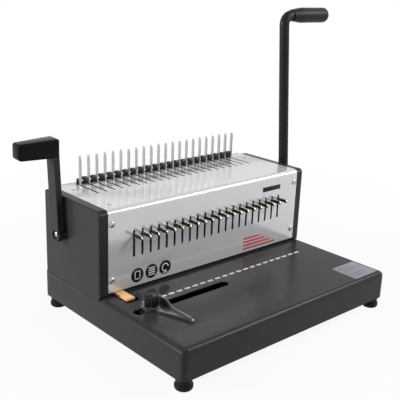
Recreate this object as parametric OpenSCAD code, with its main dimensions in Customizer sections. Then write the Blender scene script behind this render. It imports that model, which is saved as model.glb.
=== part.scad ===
// Desk machine that punches a row of holes and binds with plastic combs.
// Tall right lever: punches. Short left lever: opens the comb on the upright pins.

/* [Hole row] */
// Number of holes in the row
hole_count = 21; // [11:2:25]
// Distance from hole to hole
hole_pitch = 14.2875; // [13:0.0625:16]
// Length of one hole along the row
punch_w = 8; // [6:0.5:9]
// Width of one hole across the row
punch_t = 3; // [2:0.25:4]
// Travel of the punches
punch_stroke = 24; // [18:0.5:26]
// Distance of the hole row behind the front panel
punch_y = 22.5; // [18:0.5:26]
// Height of the paper throat
throat_h = 4.5; // [4.2:0.1:6]

/* [Base] */
// Length of the paper table in front of the panel
table_reach = 174.5; // [150:0.5:200]
// Height of the base skirt
base_h = 42.5; // [40:0.5:50]
// Sheet thickness of the base
base_wall = 2; // [1.5:0.1:3]
// Radius of the base's left and right top edges
base_side_r = 9; // [5:0.5:10]
// Radius of the base's front and back top edges and of its corners
base_edge_r = 3.5; // [2.5:0.5:6]
// Step from the side covers out to the base's sides
base_lip = 1.2; // [0.2:0.1:3]
// Thickness of the plate that closes the base
bottom_t = 1.5; // [1:0.1:3]
// Diameter of a rubber foot
foot_d = 23.8; // [18:0.2:25]
// Height of a rubber foot
foot_h = 16.5; // [10:0.5:22]
// Radius of a rubber foot's lower edge
foot_round = 4; // [1:0.5:5]
// Distance of a foot's centre from the base's edges
foot_inset = 12.6; // [12.6:0.2:30]
// Thickness of the die plate's flange
die_t = 5; // [4:0.5:7]
// Width of the die plate where it shows in the base
die_d = 22; // [16:1:26]

/* [Body] */
// Room from the last hole's centre to the panel's edge
end_room = 42; // [40:0.5:50]
// Depth of the body
body_d = 138; // [136:1:150]
// Height of the body above the base
body_h = 121.5; // [119:0.5:140]
// Width of a side cover
cover_w = 14; // [11:0.2:20]
// Wall of a side cover
cover_wall = 2; // [1.5:0.1:3]
// Radius of a side cover's corners
cover_corner_r = 9; // [4:0.5:12]
// Radius of a side cover's outer edges
cover_edge_r = 2.6; // [1:0.2:3.6]
// Thickness of the bent front and top sheet
sheet_t = 1.5; // [1:0.1:2]
// Outer radius of the sheet's bend
bend_r = 7; // [3:0.5:9]
// Thickness of the inner side frames
frame_t = 3; // [2.5:0.5:4]
// Thickness of the frames' flanges
flange_t = 2.5; // [2:0.25:3]

/* [Pull tabs] */
// Thickness of a tab
tab_t = 2.5; // [2:0.1:3]
// Height of a tab
tab_h = 7; // [6:0.5:9]
// How far a tab stands out of the panel
tab_reach = 19; // [14:0.5:24]
// Height of a tab's finger in front of the panel
tab_finger_h = 4.8; // [4.5:0.1:5.5]
// Radius of a finger's upper front corner
tab_nose_r = 3.8; // [1:0.1:4.2]
// Length in front of the panel over which a tab keeps its full height
tab_root = 2; // [1:0.5:6]
// Height of a tab's underside above the base
tab_level = 75.4; // [74:0.1:78]
// Width of a slot in the panel
tab_slot_w = 3.6; // [3.2:0.1:4.2]
// Room above a tab in its slot
tab_slot_over = 4.1; // [1:0.1:5]
// Room below a tab in its slot when the punches are down
tab_slot_under = 3.4; // [1:0.1:6]

/* [Comb opener] */
// Height of the pins above the top
pin_h = 44; // [30:1:55]
// Width of a pin from front to back
pin_w = 4.5; // [3:0.25:6]
// Thickness of a pin
pin_t = 2; // [1.5:0.1:2.5]
// Radius of a pin's tip
pin_tip_r = 1.3; // [0.6:0.1:1.4]
// Length of a pin's tapered end
pin_taper = 5; // [4:0.5:20]
// Distance of the pins in front of the body's back at rest
pin_back = 17; // [16:0.5:20]
// Travel of the pins towards the front
comb_travel = 42; // [30:1:42]
// Room in front of the pins at the end of their slots
pin_slot_front = 3; // [1:0.5:6]
// Width of a hook
hook_w = 6; // [4.5:0.5:9]
// Height of the hooks above the top
hook_h = 12; // [10:0.5:16]
// Height of the hooks' rail above the top
hook_rail_h = 4; // [3:0.5:6]
// Reach of the hooks in front of their rail
hook_reach = 8.5; // [8:0.5:14]
// Thickness of the hooks and their rail
hook_t = 1.6; // [1.2:0.1:2]
// Outer radius of the hooks' bends
hook_bend_r = 2.4; // [2:0.1:4]
// Width of the tail at a hook's lip
hook_tail_w = 3; // [2:0.1:4]

/* [Punch lever] */
// Distance from the pivot to the grip's axis
lever_len = 291; // [220:1:340]
// Backward lean at rest
lever_lean = 4.75; // [0:0.25:10]
// Diameter of the lever's tube
lever_tube_d = 16; // [12:0.5:16]
// Wall of the lever's tube
lever_tube_wall = 2; // [1.5:0.25:3]
// Radius of the tube's bend
lever_bend_r = 16; // [16:1:40]
// Diameter of the lever's grip
lever_grip_d = 24.6; // [20:0.2:30]
// Length of the lever's grip
lever_grip_l = 86; // [70:1:130]
// Length of the grip's tapered inner end
lever_grip_taper = 22; // [8:1:30]
// Radius of the grip's outer end
lever_grip_round = 8.5; // [4:0.5:9]
// Width of the lever's hub
hub_w = 20; // [20:0.5:26]
// Diameter of the lever's hub
hub_d = 36; // [34:1:44]

/* [Comb lever] */
// Distance from the pivot to the grip's axis
comb_lever_len = 125; // [90:1:150]
// Backward lean at rest
comb_lever_lean = 3.9; // [0:0.1:8]
// Width of the lever's arm
comb_lever_w = 19.5; // [16:0.5:20]
// Thickness of the lever's arm
comb_lever_t = 9.3; // [8:0.1:12]
// Gap between the arm and the left cover
comb_lever_gap = 3.1; // [2:0.1:6]
// Length of the comb lever's grip
comb_grip_l = 61.5; // [50:0.5:90]
// Height of the comb lever's grip
comb_grip_h = 26; // [24:0.5:32]
// Width of the comb lever's grip
comb_grip_w = 24; // [23.5:0.5:28]
// Radius of the grip's edges along its length
comb_grip_edge_r = 8.5; // [5:0.5:10]
// Radius of the grip's outer end
comb_grip_end_r = 10; // [3:0.5:11]
// Radius of the grip's corner over the arm
comb_grip_corner_r = 10; // [5:0.5:11]

/* [Drive] */
// Diameter of the punch shaft
shaft_d = 16; // [12:0.5:18]
// Diameter of the opener shaft
opener_shaft_d = 12; // [10:0.5:14]
// Distance of the opener shaft in front of the pins at rest
opener_lead = 30; // [30:0.5:35]
// Tooth size of all gears and racks
gear_module = 1.5; // [1.5:0.05:1.6]
// Teeth of a drive pinion
pinion_teeth = 22; // [20:1:24]
// Teeth of a full circle of the opener's sector gears
sector_teeth = 54; // [50:1:56]
// Width of the drive pinions
pinion_w = 12; // [8:0.5:14]
// Width of the sector gears
sector_w = 6; // [4:0.5:7]
// Depth of the punch beam
beam_d = 12; // [10:0.5:14]
// Diameter of the beam's guide pillars
pillar_d = 10; // [8:0.5:11]
// Wire of the return springs
spring_wire = 2; // [1.4:0.1:2.4]

/* [Edge guide] */
// Distance of the guide slot in front of the panel
guide_slot_y = 61.5; // [55:0.5:100]
// Length of the guide slot
guide_slot_l = 164; // [120:1:170]
// Width of the guide slot
guide_slot_w = 15; // [11:0.5:16]
// Distance of the guide slot's left end from the base's left side
guide_slot_in = 13.125; // [10:0.125:15]
// Distance of the guide from the slot's left end at rest
guide_set = 27; // [26:1:60]
// Diameter of the clamp knob
knob_d = 19; // [16:0.5:25]
// Height of the clamp knob
knob_h = 15; // [12:0.5:20]
// Length of the fence in front of the slot's middle
fence_front = 65.5; // [40:0.5:80]
// Height of the fence beside the knob
fence_h = 12; // [9:0.5:16]
// Height of the fence at its front
fence_low = 5.5; // [4:0.1:8]
// Thickness of the fence
fence_t = 3; // [2:0.25:5]

/* [Depth stop] */
// Width of the depth tab
depth_tab_w = 13.5; // [10:0.5:14]
// How far the depth tab stands out of the panel
depth_tab_reach = 27; // [20:0.5:34]
// Largest margin between hole and paper edge
depth_margin = 5.5; // [4.5:0.25:6.5]
// How far the depth stop can be set
depth_travel = 3; // [2:0.25:3]
// Room beside the depth tab in its cut-out
depth_cut_side = 6; // [1:0.5:6]

/* [Chip drawer] */
// Width of the drawer
drawer_w = 46; // [30:1:50]
// Height of the drawer
drawer_h = 17; // [12:0.5:18]
// Wall of the drawer
drawer_wall = 1.6; // [1.2:0.1:2.4]

/* [Fits] */
// Radial gap of a turning or sliding round fit
running_gap = 0.05; // [0.02:0.01:0.09]
// Gap between pieces that are fixed to each other
seat_gap = 0.05; // [0.02:0.01:0.1]
// Gap between flat pieces that slide
slide_gap = 0.3; // [0.2:0.05:0.4]

/* [Hidden] */
$fn = 64;
eps = 1;
pressure_angle = 20;
backlash = 0.2;
addendum = gear_module;
dedendum = 1.25 * gear_module;
tooth_pitch = PI * gear_module;

// Widths, measured from the middle of the hole row
punch_span = (hole_count - 1) * hole_pitch;
panel_x = punch_span / 2 + end_room;
cover_x = panel_x + cover_w;
base_x = cover_x + base_lip;
frame_out = panel_x - slide_gap;
frame_in = frame_out - frame_t;
seam = 0.15;
cover_skirt = base_side_r - sqrt(pow(base_side_r, 2) - pow(base_side_r - base_lip, 2));

// Heights, measured from the table that the feet stand on
base_top = foot_h + base_h;
body_top = base_top + body_h;
throat_top = base_top + throat_h;
under_sheet = body_top - sheet_t - seat_gap;
tab_z = base_top + tab_level;
bottom_z = foot_h + slide_gap;
bottom_top = bottom_z + bottom_t;

// Punch drive
guide_block_h = 12;
guide_block_d = 20;
punch_seat = 5.4;
beam_over_tab = 6;
beam_z = tab_z - punch_seat;
beam_top = tab_z + tab_h + beam_over_tab;
beam_x = frame_in - 2 * slide_gap;
beam_back = punch_y + beam_d / 2;
rack_back = 2.5;
pinion_r = gear_module * pinion_teeth / 2;
beam_pitch_y = beam_back + seat_gap + rack_back + dedendum;
shaft_y = beam_pitch_y + pinion_r;
shaft_z = beam_z;
rack_x = punch_span / 2 + punch_w / 2 + pinion_w / 2 + 4;
beam_rack_last = ceil(punch_stroke / tooth_pitch) + 1;
apron_gap = 0.8;
apron_t = 1.5;
apron_drop = 10;
apron_x = punch_span / 2 + punch_w;
pillar_in = 3;
pillar_x = frame_in - pillar_d / 2 - spring_wire - pillar_in;
punch_lift = 0.6;
punch_tip = throat_top + punch_lift;
spring_turns = 7;
spring_room = 0.8;

// Pull tabs
tab_tail = beam_d / 2 - 1.5;

// Comb opener
pin_y = body_d - pin_back;
opener_y = pin_y - opener_lead;
bar_h = 4;
bar_d = 14;
bar_room = 1;
rail_w = 5.5;
rail_h = 6;
bar_z = under_sheet - flange_t - bar_room - bar_h;
carriage_rack_top = bar_z - seat_gap;
carriage_pitch_z = carriage_rack_top - rack_back - dedendum;
sector_r = gear_module * sector_teeth / 2;
opener_z = carriage_pitch_z - sector_r;
sector_x = frame_in - rail_w - sector_w / 2 - 1.5;
sector_swing = comb_travel / sector_r * 180 / PI;
carriage_rack_last = ceil(comb_travel / tooth_pitch);
sector_step = 360 / sector_teeth;
sector_first = -ceil(sector_swing / sector_step) - 1;
pin_slot_back = 1;
pin_slot_w = pin_t + 0.8;
hook_rail_y = pin_y + pin_w / 2 + pin_slot_back + 1;
hook_rail_foot = 3.6;
hook_rail_x = punch_span / 2 + hook_w / 2 + 7;
hook_drop = 7;
hook_post_h = 9;
rear_cover_t = 1.5;
frame_foot_w = 9;

// Bushes and screws
bush_wall = 3;
bush_flange = 3;
bush_flange_t = 2;
screw_head_r = 4.2;
screw_head_h = 2.3;
screw_r = 2;
screw_room = 0.15;
panel_screw_in = 5.9;
panel_screw_low = 22.4;
panel_screw_high = 101.7;
top_screw_in = 14.9;
top_screw_front = 21;
top_screw_rear = 32;
front_flange_w = 14;
top_flange_w = 21;
end_screw_r = 2.5;
end_screw_l = 12;

// Levers
lever_gap = 1.2;
lever_x = cover_x + lever_gap + hub_w / 2;
socket_floor = shaft_d / 2 + 3;
grip_end = 4;
grip_lip = 1.4;
grip_gap = 1;
lever_reach = lever_x + lever_bend_r + grip_gap + lever_grip_l;
comb_in = cover_x + comb_lever_gap;
comb_out = comb_in + comb_lever_t;
comb_reach = comb_in + comb_grip_l;
comb_socket = 4.5;
comb_sink = 3;
comb_arm_top = comb_lever_len + comb_grip_h / 2 - comb_grip_corner_r - comb_lever_w / 2;
comb_grip_arm_r = 3;

// Edge guide, in front of the panel and left of the middle
guide_y = -guide_slot_y;
guide_slot_left = -base_x + guide_slot_in;
guide_x = guide_slot_left + guide_set;
stud_d = 6;
guide_foot_h = 3;
boss_h = 4;
boss_r = knob_d / 2 + 3;
guide_block_l = 20;
guide_block_in = guide_slot_w - 2 * slide_gap;
clamp_plate_t = 4;
clamp_plate_over = 5;
fence_back = 9;
fence_gap = 5.5;
fence_x = guide_x + knob_d / 2 + fence_gap;
fence_slope = 16.5;
gusset_in = 7;
knob_grooves = 24;
knob_groove_r = 0.9;

// Depth stop and chip drawer
depth_bar_d = 4;
depth_y = punch_y + punch_t / 2 + depth_margin;
depth_tab_t = 2.8;
depth_tab_x = -frame_out + 10.6;
depth_cut_room = 1.5;
depth_cut_back = 2;
die_x = punch_span / 2 + punch_w / 2 + 16;
die_flange = 6;
punch_room = 0.15;
drawer_x = frame_in - 14;
drawer_y = punch_y - drawer_w / 2;
drawer_z = bottom_top + slide_gap;
drawer_front_t = 3;
drawer_front_over = 2;
drawer_lip = 7;
rib_h = 8;
rib_t = 1.5;

// The origin lies below the middle of the whole machine's box
mid_x = (lever_reach - comb_reach) / 2;
mid_y = (body_d - table_reach) / 2;

function tab_name(i) = str("pull_tab_", i < 9 ? "0" : "", i + 1);
function hole_x(i) = (i - (hole_count - 1) / 2) * hole_pitch;
function pin_x(i) = (i - hole_count / 2) * hole_pitch;

black = [0.13, 0.13, 0.14];
silver = [0.78, 0.79, 0.8];
steel = [0.6, 0.61, 0.63];

// Helpers for placing

module in_frame() {
  translate([-mid_x, -mid_y, 0]) children();
}

// Children once on the right and once mirrored to the left
module both_sides() {
  children();
  mirror([1, 0, 0]) children();
}

// A profile drawn as (y, z), drawn out along x
module along_x(x, l) {
  translate([x, 0, 0]) rotate([90, 0, 90]) linear_extrude(l) children();
}

// A profile drawn as (x, z), drawn out along y
module along_y(y, l) {
  translate([0, y + l, 0]) rotate([90, 0, 0]) linear_extrude(l) children();
}

// A round bar along x
module rod_x(x, l, r, y, z) {
  translate([x, y, z]) rotate([0, 90, 0]) cylinder(h = l, r = r);
}

module lever_pose() {
  translate([0, shaft_y, shaft_z]) rotate([-lever_lean, 0, 0]) children();
}

module comb_pose() {
  translate([0, opener_y, opener_z]) rotate([-comb_lever_lean, 0, 0]) children();
}

// Helpers for shapes

// A rectangle with four round corners
module round_rect(w, d, r) {
  translate([r, 0]) square([w - 2 * r, d]);
  translate([0, r]) square([w, d - 2 * r]);
  for (a = [r, w - r], b = [r, d - r]) translate([a, b]) circle(r);
}

// A rectangle whose two upper corners are round
module round_top(w, h, r) {
  square([w, h - r]);
  translate([r, 0]) square([w - 2 * r, h]);
  for (a = [r, w - r]) translate([a, h - r]) circle(r);
}

// The inner radius of a bend in a wall, never quite sharp
function inner_r(outer_r, wall) = max(outer_r - wall, 0.4);

// A box with round upright corners, and top edges round by one radius at left and right
// and by another in front and behind
module soft_box(w, d, h, corner_r, side_r, front_r) {
  intersection() {
    linear_extrude(h) round_rect(w, d, corner_r);
    along_y(0, d) round_top(w, h, side_r);
    along_x(0, w) round_top(d, h, front_r);
  }
}

// A soft box that is hollow and open below
module soft_shell(w, d, h, corner_r, side_r, front_r, wall) {
  difference() {
    soft_box(w, d, h, corner_r, side_r, front_r);
    translate([wall, wall, -eps])
      soft_box(w - 2 * wall, d - 2 * wall, h - wall + eps, inner_r(corner_r, wall),
        inner_r(side_r, wall), inner_r(front_r, wall));
  }
}

// A slot with round ends from a to b along the first axis
module slot(a, b, w) {
  translate([a + w / 2, -w / 2]) square([b - a - w, w]);
  for (s = [a + w / 2, b - w / 2]) translate([s, 0]) circle(d = w);
}

// A rack drawn along the first axis, teeth towards the second, pitch line at zero
module rack(first, last) {
  half = tooth_pitch / 4 - backlash / 2;
  slope = tan(pressure_angle);
  top = half - addendum * slope;
  foot = half + dedendum * slope;
  points = [for (k = [first : last])
    for (p = [[-foot, -dedendum], [-top, addendum], [top, addendum], [foot, -dedendum]])
      [k * tooth_pitch + p[0], p[1]]];
  start = (first - 0.5) * tooth_pitch;
  end = (last + 0.5) * tooth_pitch;
  back = -dedendum - rack_back;
  polygon(concat([[start, back], [start, -dedendum]], points, [[end, -dedendum], [end, back]]));
}

function involute(a) = tan(a) * 180 / PI - a;

// Half the angle that a tooth takes up at a radius
function tooth_half(teeth, radius) =
  let (r = gear_module * teeth / 2, base_r = r * cos(pressure_angle))
  90 / teeth - backlash / 2 / r * 180 / PI + involute(pressure_angle)
    - involute(acos(min(1, base_r / radius)));

// The outline of one tooth around an angle
function tooth(teeth, angle) =
  let (r = gear_module * teeth / 2, root = r - dedendum, tip = r + addendum,
    start = max(r * cos(pressure_angle), root),
    radii = concat([root], [for (i = [0 : 4]) start + (tip - start) * i / 4]),
    n = len(radii))
  concat(
    [for (i = [0 : n - 1]) let (a = angle - tooth_half(teeth, radii[i]))
      radii[i] * [cos(a), sin(a)]],
    [for (i = [n - 1 : -1 : 0]) let (a = angle + tooth_half(teeth, radii[i]))
      radii[i] * [cos(a), sin(a)]]);

// The teeth of a gear from first to last, with a gap centred on an angle
function toothed(teeth, gap_angle, first, last) =
  [for (k = [first : last]) each tooth(teeth, gap_angle + (k + 0.5) * 360 / teeth)];

// A closed coil of round wire standing on the origin
module coil(r, wire_r, height, turns) {
  steps = turns * 12;
  sides = 8;
  rise = height - 2 * wire_r;
  points = [for (i = [0 : steps], j = [0 : sides - 1])
    let (a = 360 * turns * i / steps, b = 360 * j / sides, reach = r + wire_r * cos(b))
    [reach * cos(a), reach * sin(a), wire_r + rise * i / steps + wire_r * sin(b)]];
  walls = [for (i = [0 : steps - 1], j = [0 : sides - 1])
    let (k = (j + 1) % sides)
    [i * sides + j, (i + 1) * sides + j, (i + 1) * sides + k, i * sides + k]];
  ends = [[for (j = [0 : sides - 1]) j], [for (j = [sides - 1 : -1 : 0]) steps * sides + j]];
  polyhedron(points, concat(walls, ends));
}

// A domed screw standing on its head's seat, head upwards
module screw(head_r, head_h, shank_r, shank_l) {
  rotate_extrude() intersection() {
    translate([0, -shank_l]) square([head_r, shank_l + head_h]);
    union() {
      translate([0, -shank_l]) square([shank_r, shank_l + eps]);
      square([head_r, head_h / 2]);
      translate([0, head_h / 2]) intersection() {
        translate([0, head_h / 2 - head_r * 2]) circle(head_r * 2);
        square([head_r, head_h]);
      }
    }
  }
}

// Base

module base_shell() color(black) difference() {
  translate([-base_x, -table_reach, foot_h])
    soft_shell(2 * base_x, table_reach + body_d, base_h, base_edge_r, base_side_r, base_edge_r,
      base_wall);
  translate([-die_x - seat_gap, punch_y - die_d / 2 - seat_gap, base_top - base_wall - eps])
    cube([2 * (die_x + seat_gap), die_d + 2 * seat_gap, base_wall + 2 * eps]);
  translate([0, guide_y, base_top - base_wall - eps]) linear_extrude(base_wall + 2 * eps)
    slot(guide_slot_left, guide_slot_left + guide_slot_l, guide_slot_w);
  translate([depth_tab_x - depth_cut_room, -depth_tab_reach - depth_travel - depth_cut_room,
      base_top - base_wall - eps])
    cube([depth_tab_w + depth_cut_room + depth_cut_side,
      depth_tab_reach + depth_travel + depth_cut_room + depth_cut_back, base_wall + 2 * eps]);
  translate([base_x - base_wall - eps, drawer_y - drawer_front_over - slide_gap, bottom_top])
    cube([base_wall + 2 * eps, drawer_w + 2 * (drawer_front_over + slide_gap),
      drawer_h + drawer_front_over + 2 * slide_gap]);
}

module bottom_plate() color(black) {
  inset = base_wall + slide_gap;
  translate([-base_x + inset, -table_reach + inset, bottom_z]) linear_extrude(bottom_t)
    round_rect(2 * (base_x - inset), table_reach + body_d - 2 * inset,
      inner_r(base_edge_r, base_wall));
  for (y = [drawer_y - slide_gap - rib_t, drawer_y + drawer_w + slide_gap])
    translate([-drawer_x, y, bottom_z])
      cube([drawer_x + base_x - inset - drawer_front_t, rib_t, bottom_t + rib_h]);
}

module rubber_feet() color([0.07, 0.07, 0.07]) {
  screw_well_r = 4;
  screw_well_h = 7;
  for (x = [-base_x + foot_inset, base_x - foot_inset],
      y = [-table_reach + foot_inset, body_d - foot_inset])
    translate([x, y, 0]) rotate_extrude() difference() {
      union() {
        translate([0, foot_round]) square([foot_d / 2, foot_h - foot_round]);
        square([foot_d / 2 - foot_round, foot_h]);
        translate([foot_d / 2 - foot_round, foot_round]) circle(foot_round);
      }
      translate([-eps, -eps]) square([screw_well_r + eps, screw_well_h + eps]);
    }
}

// Body

// The right cover, which reaches down to the base's rounded side.
// The left one is its mirror image apart from the shaft hole.
module side_cover(hole_y, hole_z, hole_r) {
  boss_r_inner = 4;
  depth = cover_w - seam;
  difference() {
    union() {
      translate([panel_x + seam, 0, base_top - cover_skirt]) rotate([90, 0, 90])
        soft_shell(body_d, body_h + cover_skirt, depth, cover_corner_r, cover_edge_r, cover_edge_r,
          cover_wall);
      for (y = [body_d / 6, body_d * 5 / 6])
        rod_x(frame_out + seat_gap, cover_x - cover_wall - frame_out, boss_r_inner,
          y, body_top - body_h / 4);
    }
    along_y(-eps, body_d + 2 * eps) translate([-base_x - slide_gap, foot_h])
      round_top(2 * (base_x + slide_gap), base_h + slide_gap, base_side_r + slide_gap);
    rod_x(panel_x, cover_w + eps, hole_r, hole_y, hole_z);
  }
}

module right_cover() color(black) side_cover(shaft_y, shaft_z, shaft_d / 2 + 1.5);

module left_cover() color(black) mirror([1, 0, 0])
  side_cover(opener_y, opener_z, opener_shaft_d / 2 + 1.5);

module front_top_cover() color(silver) {
  back_y = body_d - rear_cover_t - slide_gap;
  slot_low = tab_z - punch_stroke - tab_slot_under;
  slot_high = tab_z + tab_h + tab_slot_over;
  pin_slot_a = pin_y - comb_travel - pin_w / 2 - pin_slot_front;
  pin_slot_b = pin_y + pin_w / 2 + pin_slot_back;
  difference() {
    along_x(-panel_x, 2 * panel_x) {
      translate([0, throat_top]) square([sheet_t, body_top - bend_r - throat_top]);
      translate([bend_r, body_top - sheet_t]) square([back_y - bend_r, sheet_t]);
      translate([bend_r, body_top - bend_r]) intersection() {
        difference() {
          circle(bend_r);
          circle(bend_r - sheet_t);
        }
        translate([-bend_r, 0]) square(bend_r);
      }
    }
    along_y(-eps, sheet_t + 2 * eps) for (i = [0 : hole_count - 1])
      translate([hole_x(i), 0]) rotate(90) slot(slot_low, slot_high, tab_slot_w);
    translate([0, 0, body_top - sheet_t - eps]) linear_extrude(sheet_t + 2 * eps)
      for (i = [0 : hole_count])
        translate([pin_x(i), 0]) rotate(90) slot(pin_slot_a, pin_slot_b, pin_slot_w);
    screw_holes();
  }
}

module rear_cover() color(black) {
  lip = 10;
  translate([-panel_x + seat_gap, body_d - rear_cover_t, base_top + slide_gap])
    cube([2 * (panel_x - seat_gap), rear_cover_t, body_h - slide_gap]);
  lip_x = frame_in - frame_foot_w - slide_gap;
  translate([-lip_x, body_d - lip, base_top + slide_gap]) cube([2 * lip_x, lip, rear_cover_t]);
}

module side_frames() color(steel) both_sides() difference() {
  front = sheet_t + seat_gap;
  back = body_d - rear_cover_t - seat_gap;
  foot_y = punch_y + guide_block_d / 2 + 6;
  union() {
    along_x(frame_in, frame_t) translate([front, base_top])
      round_rect(back - front, under_sheet - base_top, bend_r);
    translate([frame_out - front_flange_w, front, throat_top + eps])
      cube([front_flange_w, flange_t, body_top - bend_r - throat_top - eps]);
    translate([frame_out - top_flange_w, bend_r + eps, under_sheet - flange_t])
      cube([top_flange_w, back - 2 * bend_r, flange_t]);
    translate([frame_in - frame_foot_w, foot_y, base_top])
      cube([frame_t + frame_foot_w, back - bend_r - foot_y, flange_t]);
  }
  rod_x(frame_in - eps, frame_t + 2 * eps, shaft_d / 2 + bush_wall + seat_gap, shaft_y, shaft_z);
  rod_x(frame_in - eps, frame_t + 2 * eps, opener_shaft_d / 2 + bush_wall + seat_gap,
    opener_y, opener_z);
  screw_holes();
}

// Through holes for the sheet's screws, on the right and mirrored to the left
module screw_holes() {
  deep = sheet_t + flange_t + 2 * eps;
  for (side = [-1, 1]) {
    for (z = [panel_screw_low, panel_screw_high])
      translate([side * (panel_x - panel_screw_in), -eps, base_top + z]) rotate([-90, 0, 0])
        cylinder(h = deep, r = screw_r + screw_room);
    for (y = [top_screw_front, body_d - top_screw_rear])
      translate([side * (panel_x - top_screw_in), y, body_top - deep + eps])
        cylinder(h = deep, r = screw_r + screw_room);
  }
}

module cover_screws() color(silver) for (side = [-1, 1]) {
  for (z = [panel_screw_low, panel_screw_high])
    translate([side * (panel_x - panel_screw_in), -seat_gap, base_top + z]) rotate([90, 0, 0])
      screw(screw_head_r, screw_head_h, screw_r, sheet_t + flange_t);
  for (y = [top_screw_front, body_d - top_screw_rear])
    translate([side * (panel_x - top_screw_in), y, body_top + seat_gap])
      screw(screw_head_r * 0.85, screw_head_h * 0.7, screw_r, sheet_t + flange_t);
}

// Flanged bushes for both shafts, pressed into the frames from inside
module shaft_bushes() color([0.62, 0.5, 0.3]) both_sides() {
  for (b = [[shaft_d / 2, shaft_y, shaft_z], [opener_shaft_d / 2, opener_y, opener_z]])
    difference() {
      union() {
        rod_x(frame_in - bush_flange_t - seat_gap, bush_flange_t, b[0] + bush_wall + bush_flange,
          b[1], b[2]);
        rod_x(frame_in - bush_flange_t - seat_gap, bush_flange_t + frame_t + 1, b[0] + bush_wall,
          b[1], b[2]);
      }
      rod_x(frame_in - 2 * bush_flange_t, 3 * bush_flange_t + frame_t, b[0] + running_gap,
        b[1], b[2]);
    }
}

// Punching

// The holes for all punches, cut through whatever they guide
module punch_holes(z, h) {
  for (i = [0 : hole_count - 1])
    translate([hole_x(i) - punch_w / 2 - punch_room, punch_y - punch_t / 2 - punch_room, z])
      cube([punch_w + 2 * punch_room, punch_t + 2 * punch_room, h]);
}

module die_plate() color(steel) {
  flange_top = base_top - base_wall - seat_gap;
  difference() {
    union() {
      translate([-die_x, punch_y - die_d / 2, flange_top])
        cube([2 * die_x, die_d, base_top - flange_top]);
      translate([-die_x - die_flange, punch_y - die_d / 2 - die_flange, flange_top - die_t])
        cube([2 * (die_x + die_flange), die_d + 2 * die_flange, die_t]);
    }
    punch_holes(flange_top - die_t - eps, die_t + base_wall + 3 * eps);
  }
}

module guide_block() color(steel) difference() {
  translate([-frame_in + slide_gap, punch_y - guide_block_d / 2, throat_top])
    cube([2 * (frame_in - slide_gap), guide_block_d, guide_block_h]);
  punch_holes(throat_top - eps, guide_block_h + 2 * eps);
  for (x = [-pillar_x, pillar_x])
    translate([x, punch_y, throat_top + 1])
      cylinder(h = guide_block_h, r = pillar_d / 2 + seat_gap);
}

module guide_pillars() color(silver) for (x = [-pillar_x, pillar_x])
  translate([x, punch_y, throat_top + 1 + seat_gap])
    cylinder(h = beam_top + 3 - throat_top - 1, d = pillar_d);

module return_springs() color(silver) {
  seat = throat_top + guide_block_h;
  for (x = [-pillar_x, pillar_x]) translate([x, punch_y, seat + slide_gap])
    coil(pillar_d / 2 + spring_wire / 2 + spring_room, spring_wire / 2,
      beam_z - seat - 2 * slide_gap, spring_turns);
}

// A bar over all punches, with an apron that hangs behind the panel and keeps dust out of its slots
module punch_beam() color(steel) difference() {
  front = punch_y - beam_d / 2;
  apron_y = sheet_t + apron_gap;
  union() {
    translate([-beam_x, front, beam_z]) cube([2 * beam_x, beam_d, beam_top - beam_z]);
    translate([-apron_x, apron_y, beam_z]) cube([2 * apron_x, front - apron_y + eps, apron_t]);
    translate([-apron_x, apron_y, beam_z - apron_drop])
      cube([2 * apron_x, apron_t, apron_drop + apron_t]);
  }
  punch_holes(beam_z - eps, punch_seat + 2 * eps);
  for (i = [0 : hole_count - 1])
    translate([hole_x(i) - tab_t / 2 - slide_gap / 2, punch_y - beam_d / 2 - eps,
        tab_z - slide_gap / 2])
      cube([tab_t + slide_gap, beam_d + 2 * eps, tab_h + slide_gap]);
  for (x = [-pillar_x, pillar_x]) translate([x, punch_y, beam_z - eps])
    cylinder(h = beam_top - beam_z + 2 * eps, r = pillar_d / 2 + running_gap);
}

module beam_racks() color(silver) both_sides()
  along_x(rack_x - pinion_w / 2, pinion_w) translate([beam_pitch_y, shaft_z]) mirror([1, -1])
    rack(-1, beam_rack_last);

// Punches with a shallow notch, so that they cut from both ends
module punches() color(silver) {
  notch = 1.2;
  for (i = [0 : hole_count - 1])
    along_y(punch_y - punch_t / 2, punch_t) translate([hole_x(i), 0])
      polygon([[-punch_w / 2, punch_tip], [0, punch_tip + notch], [punch_w / 2, punch_tip],
        [punch_w / 2, tab_z - slide_gap], [-punch_w / 2, tab_z - slide_gap]]);
}

// A flat tab that rides in the beam over one punch, with a blunt finger in front
module pull_tab(i) color([0.22, 0.2, 0.18])
  along_x(hole_x(i) - tab_t / 2, tab_t) translate([0, tab_z]) {
    back = punch_y + tab_tail;
    under = tab_h - tab_finger_h;
    nose_y = -tab_reach + tab_nose_r;
    polygon([[-tab_root, 0], [back, 0], [back, tab_h], [nose_y, tab_h], [nose_y, under], [-tab_root, under]]);
    translate([-tab_reach, under]) square([tab_nose_r, tab_finger_h - tab_nose_r]);
    intersection() {
      translate([nose_y, tab_h - tab_nose_r]) circle(tab_nose_r);
      translate([-tab_reach, under]) square([tab_nose_r, tab_finger_h]);
    }
  }

module main_shaft() color(silver) difference() {
  rod_x(-frame_out - 2, frame_out + 2 + lever_x + hub_w / 2 - seat_gap, shaft_d / 2,
    shaft_y, shaft_z);
  rod_x(lever_x + hub_w / 2 - end_screw_l, end_screw_l + eps, end_screw_r + seat_gap,
    shaft_y, shaft_z);
}

module drive_pinions() color(steel) both_sides() difference() {
  along_x(rack_x - pinion_w / 2, pinion_w) translate([shaft_y, shaft_z])
    polygon(toothed(pinion_teeth, 180, 0, pinion_teeth - 1));
  rod_x(rack_x - pinion_w, 2 * pinion_w, shaft_d / 2 + seat_gap, shaft_y, shaft_z);
}

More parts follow.
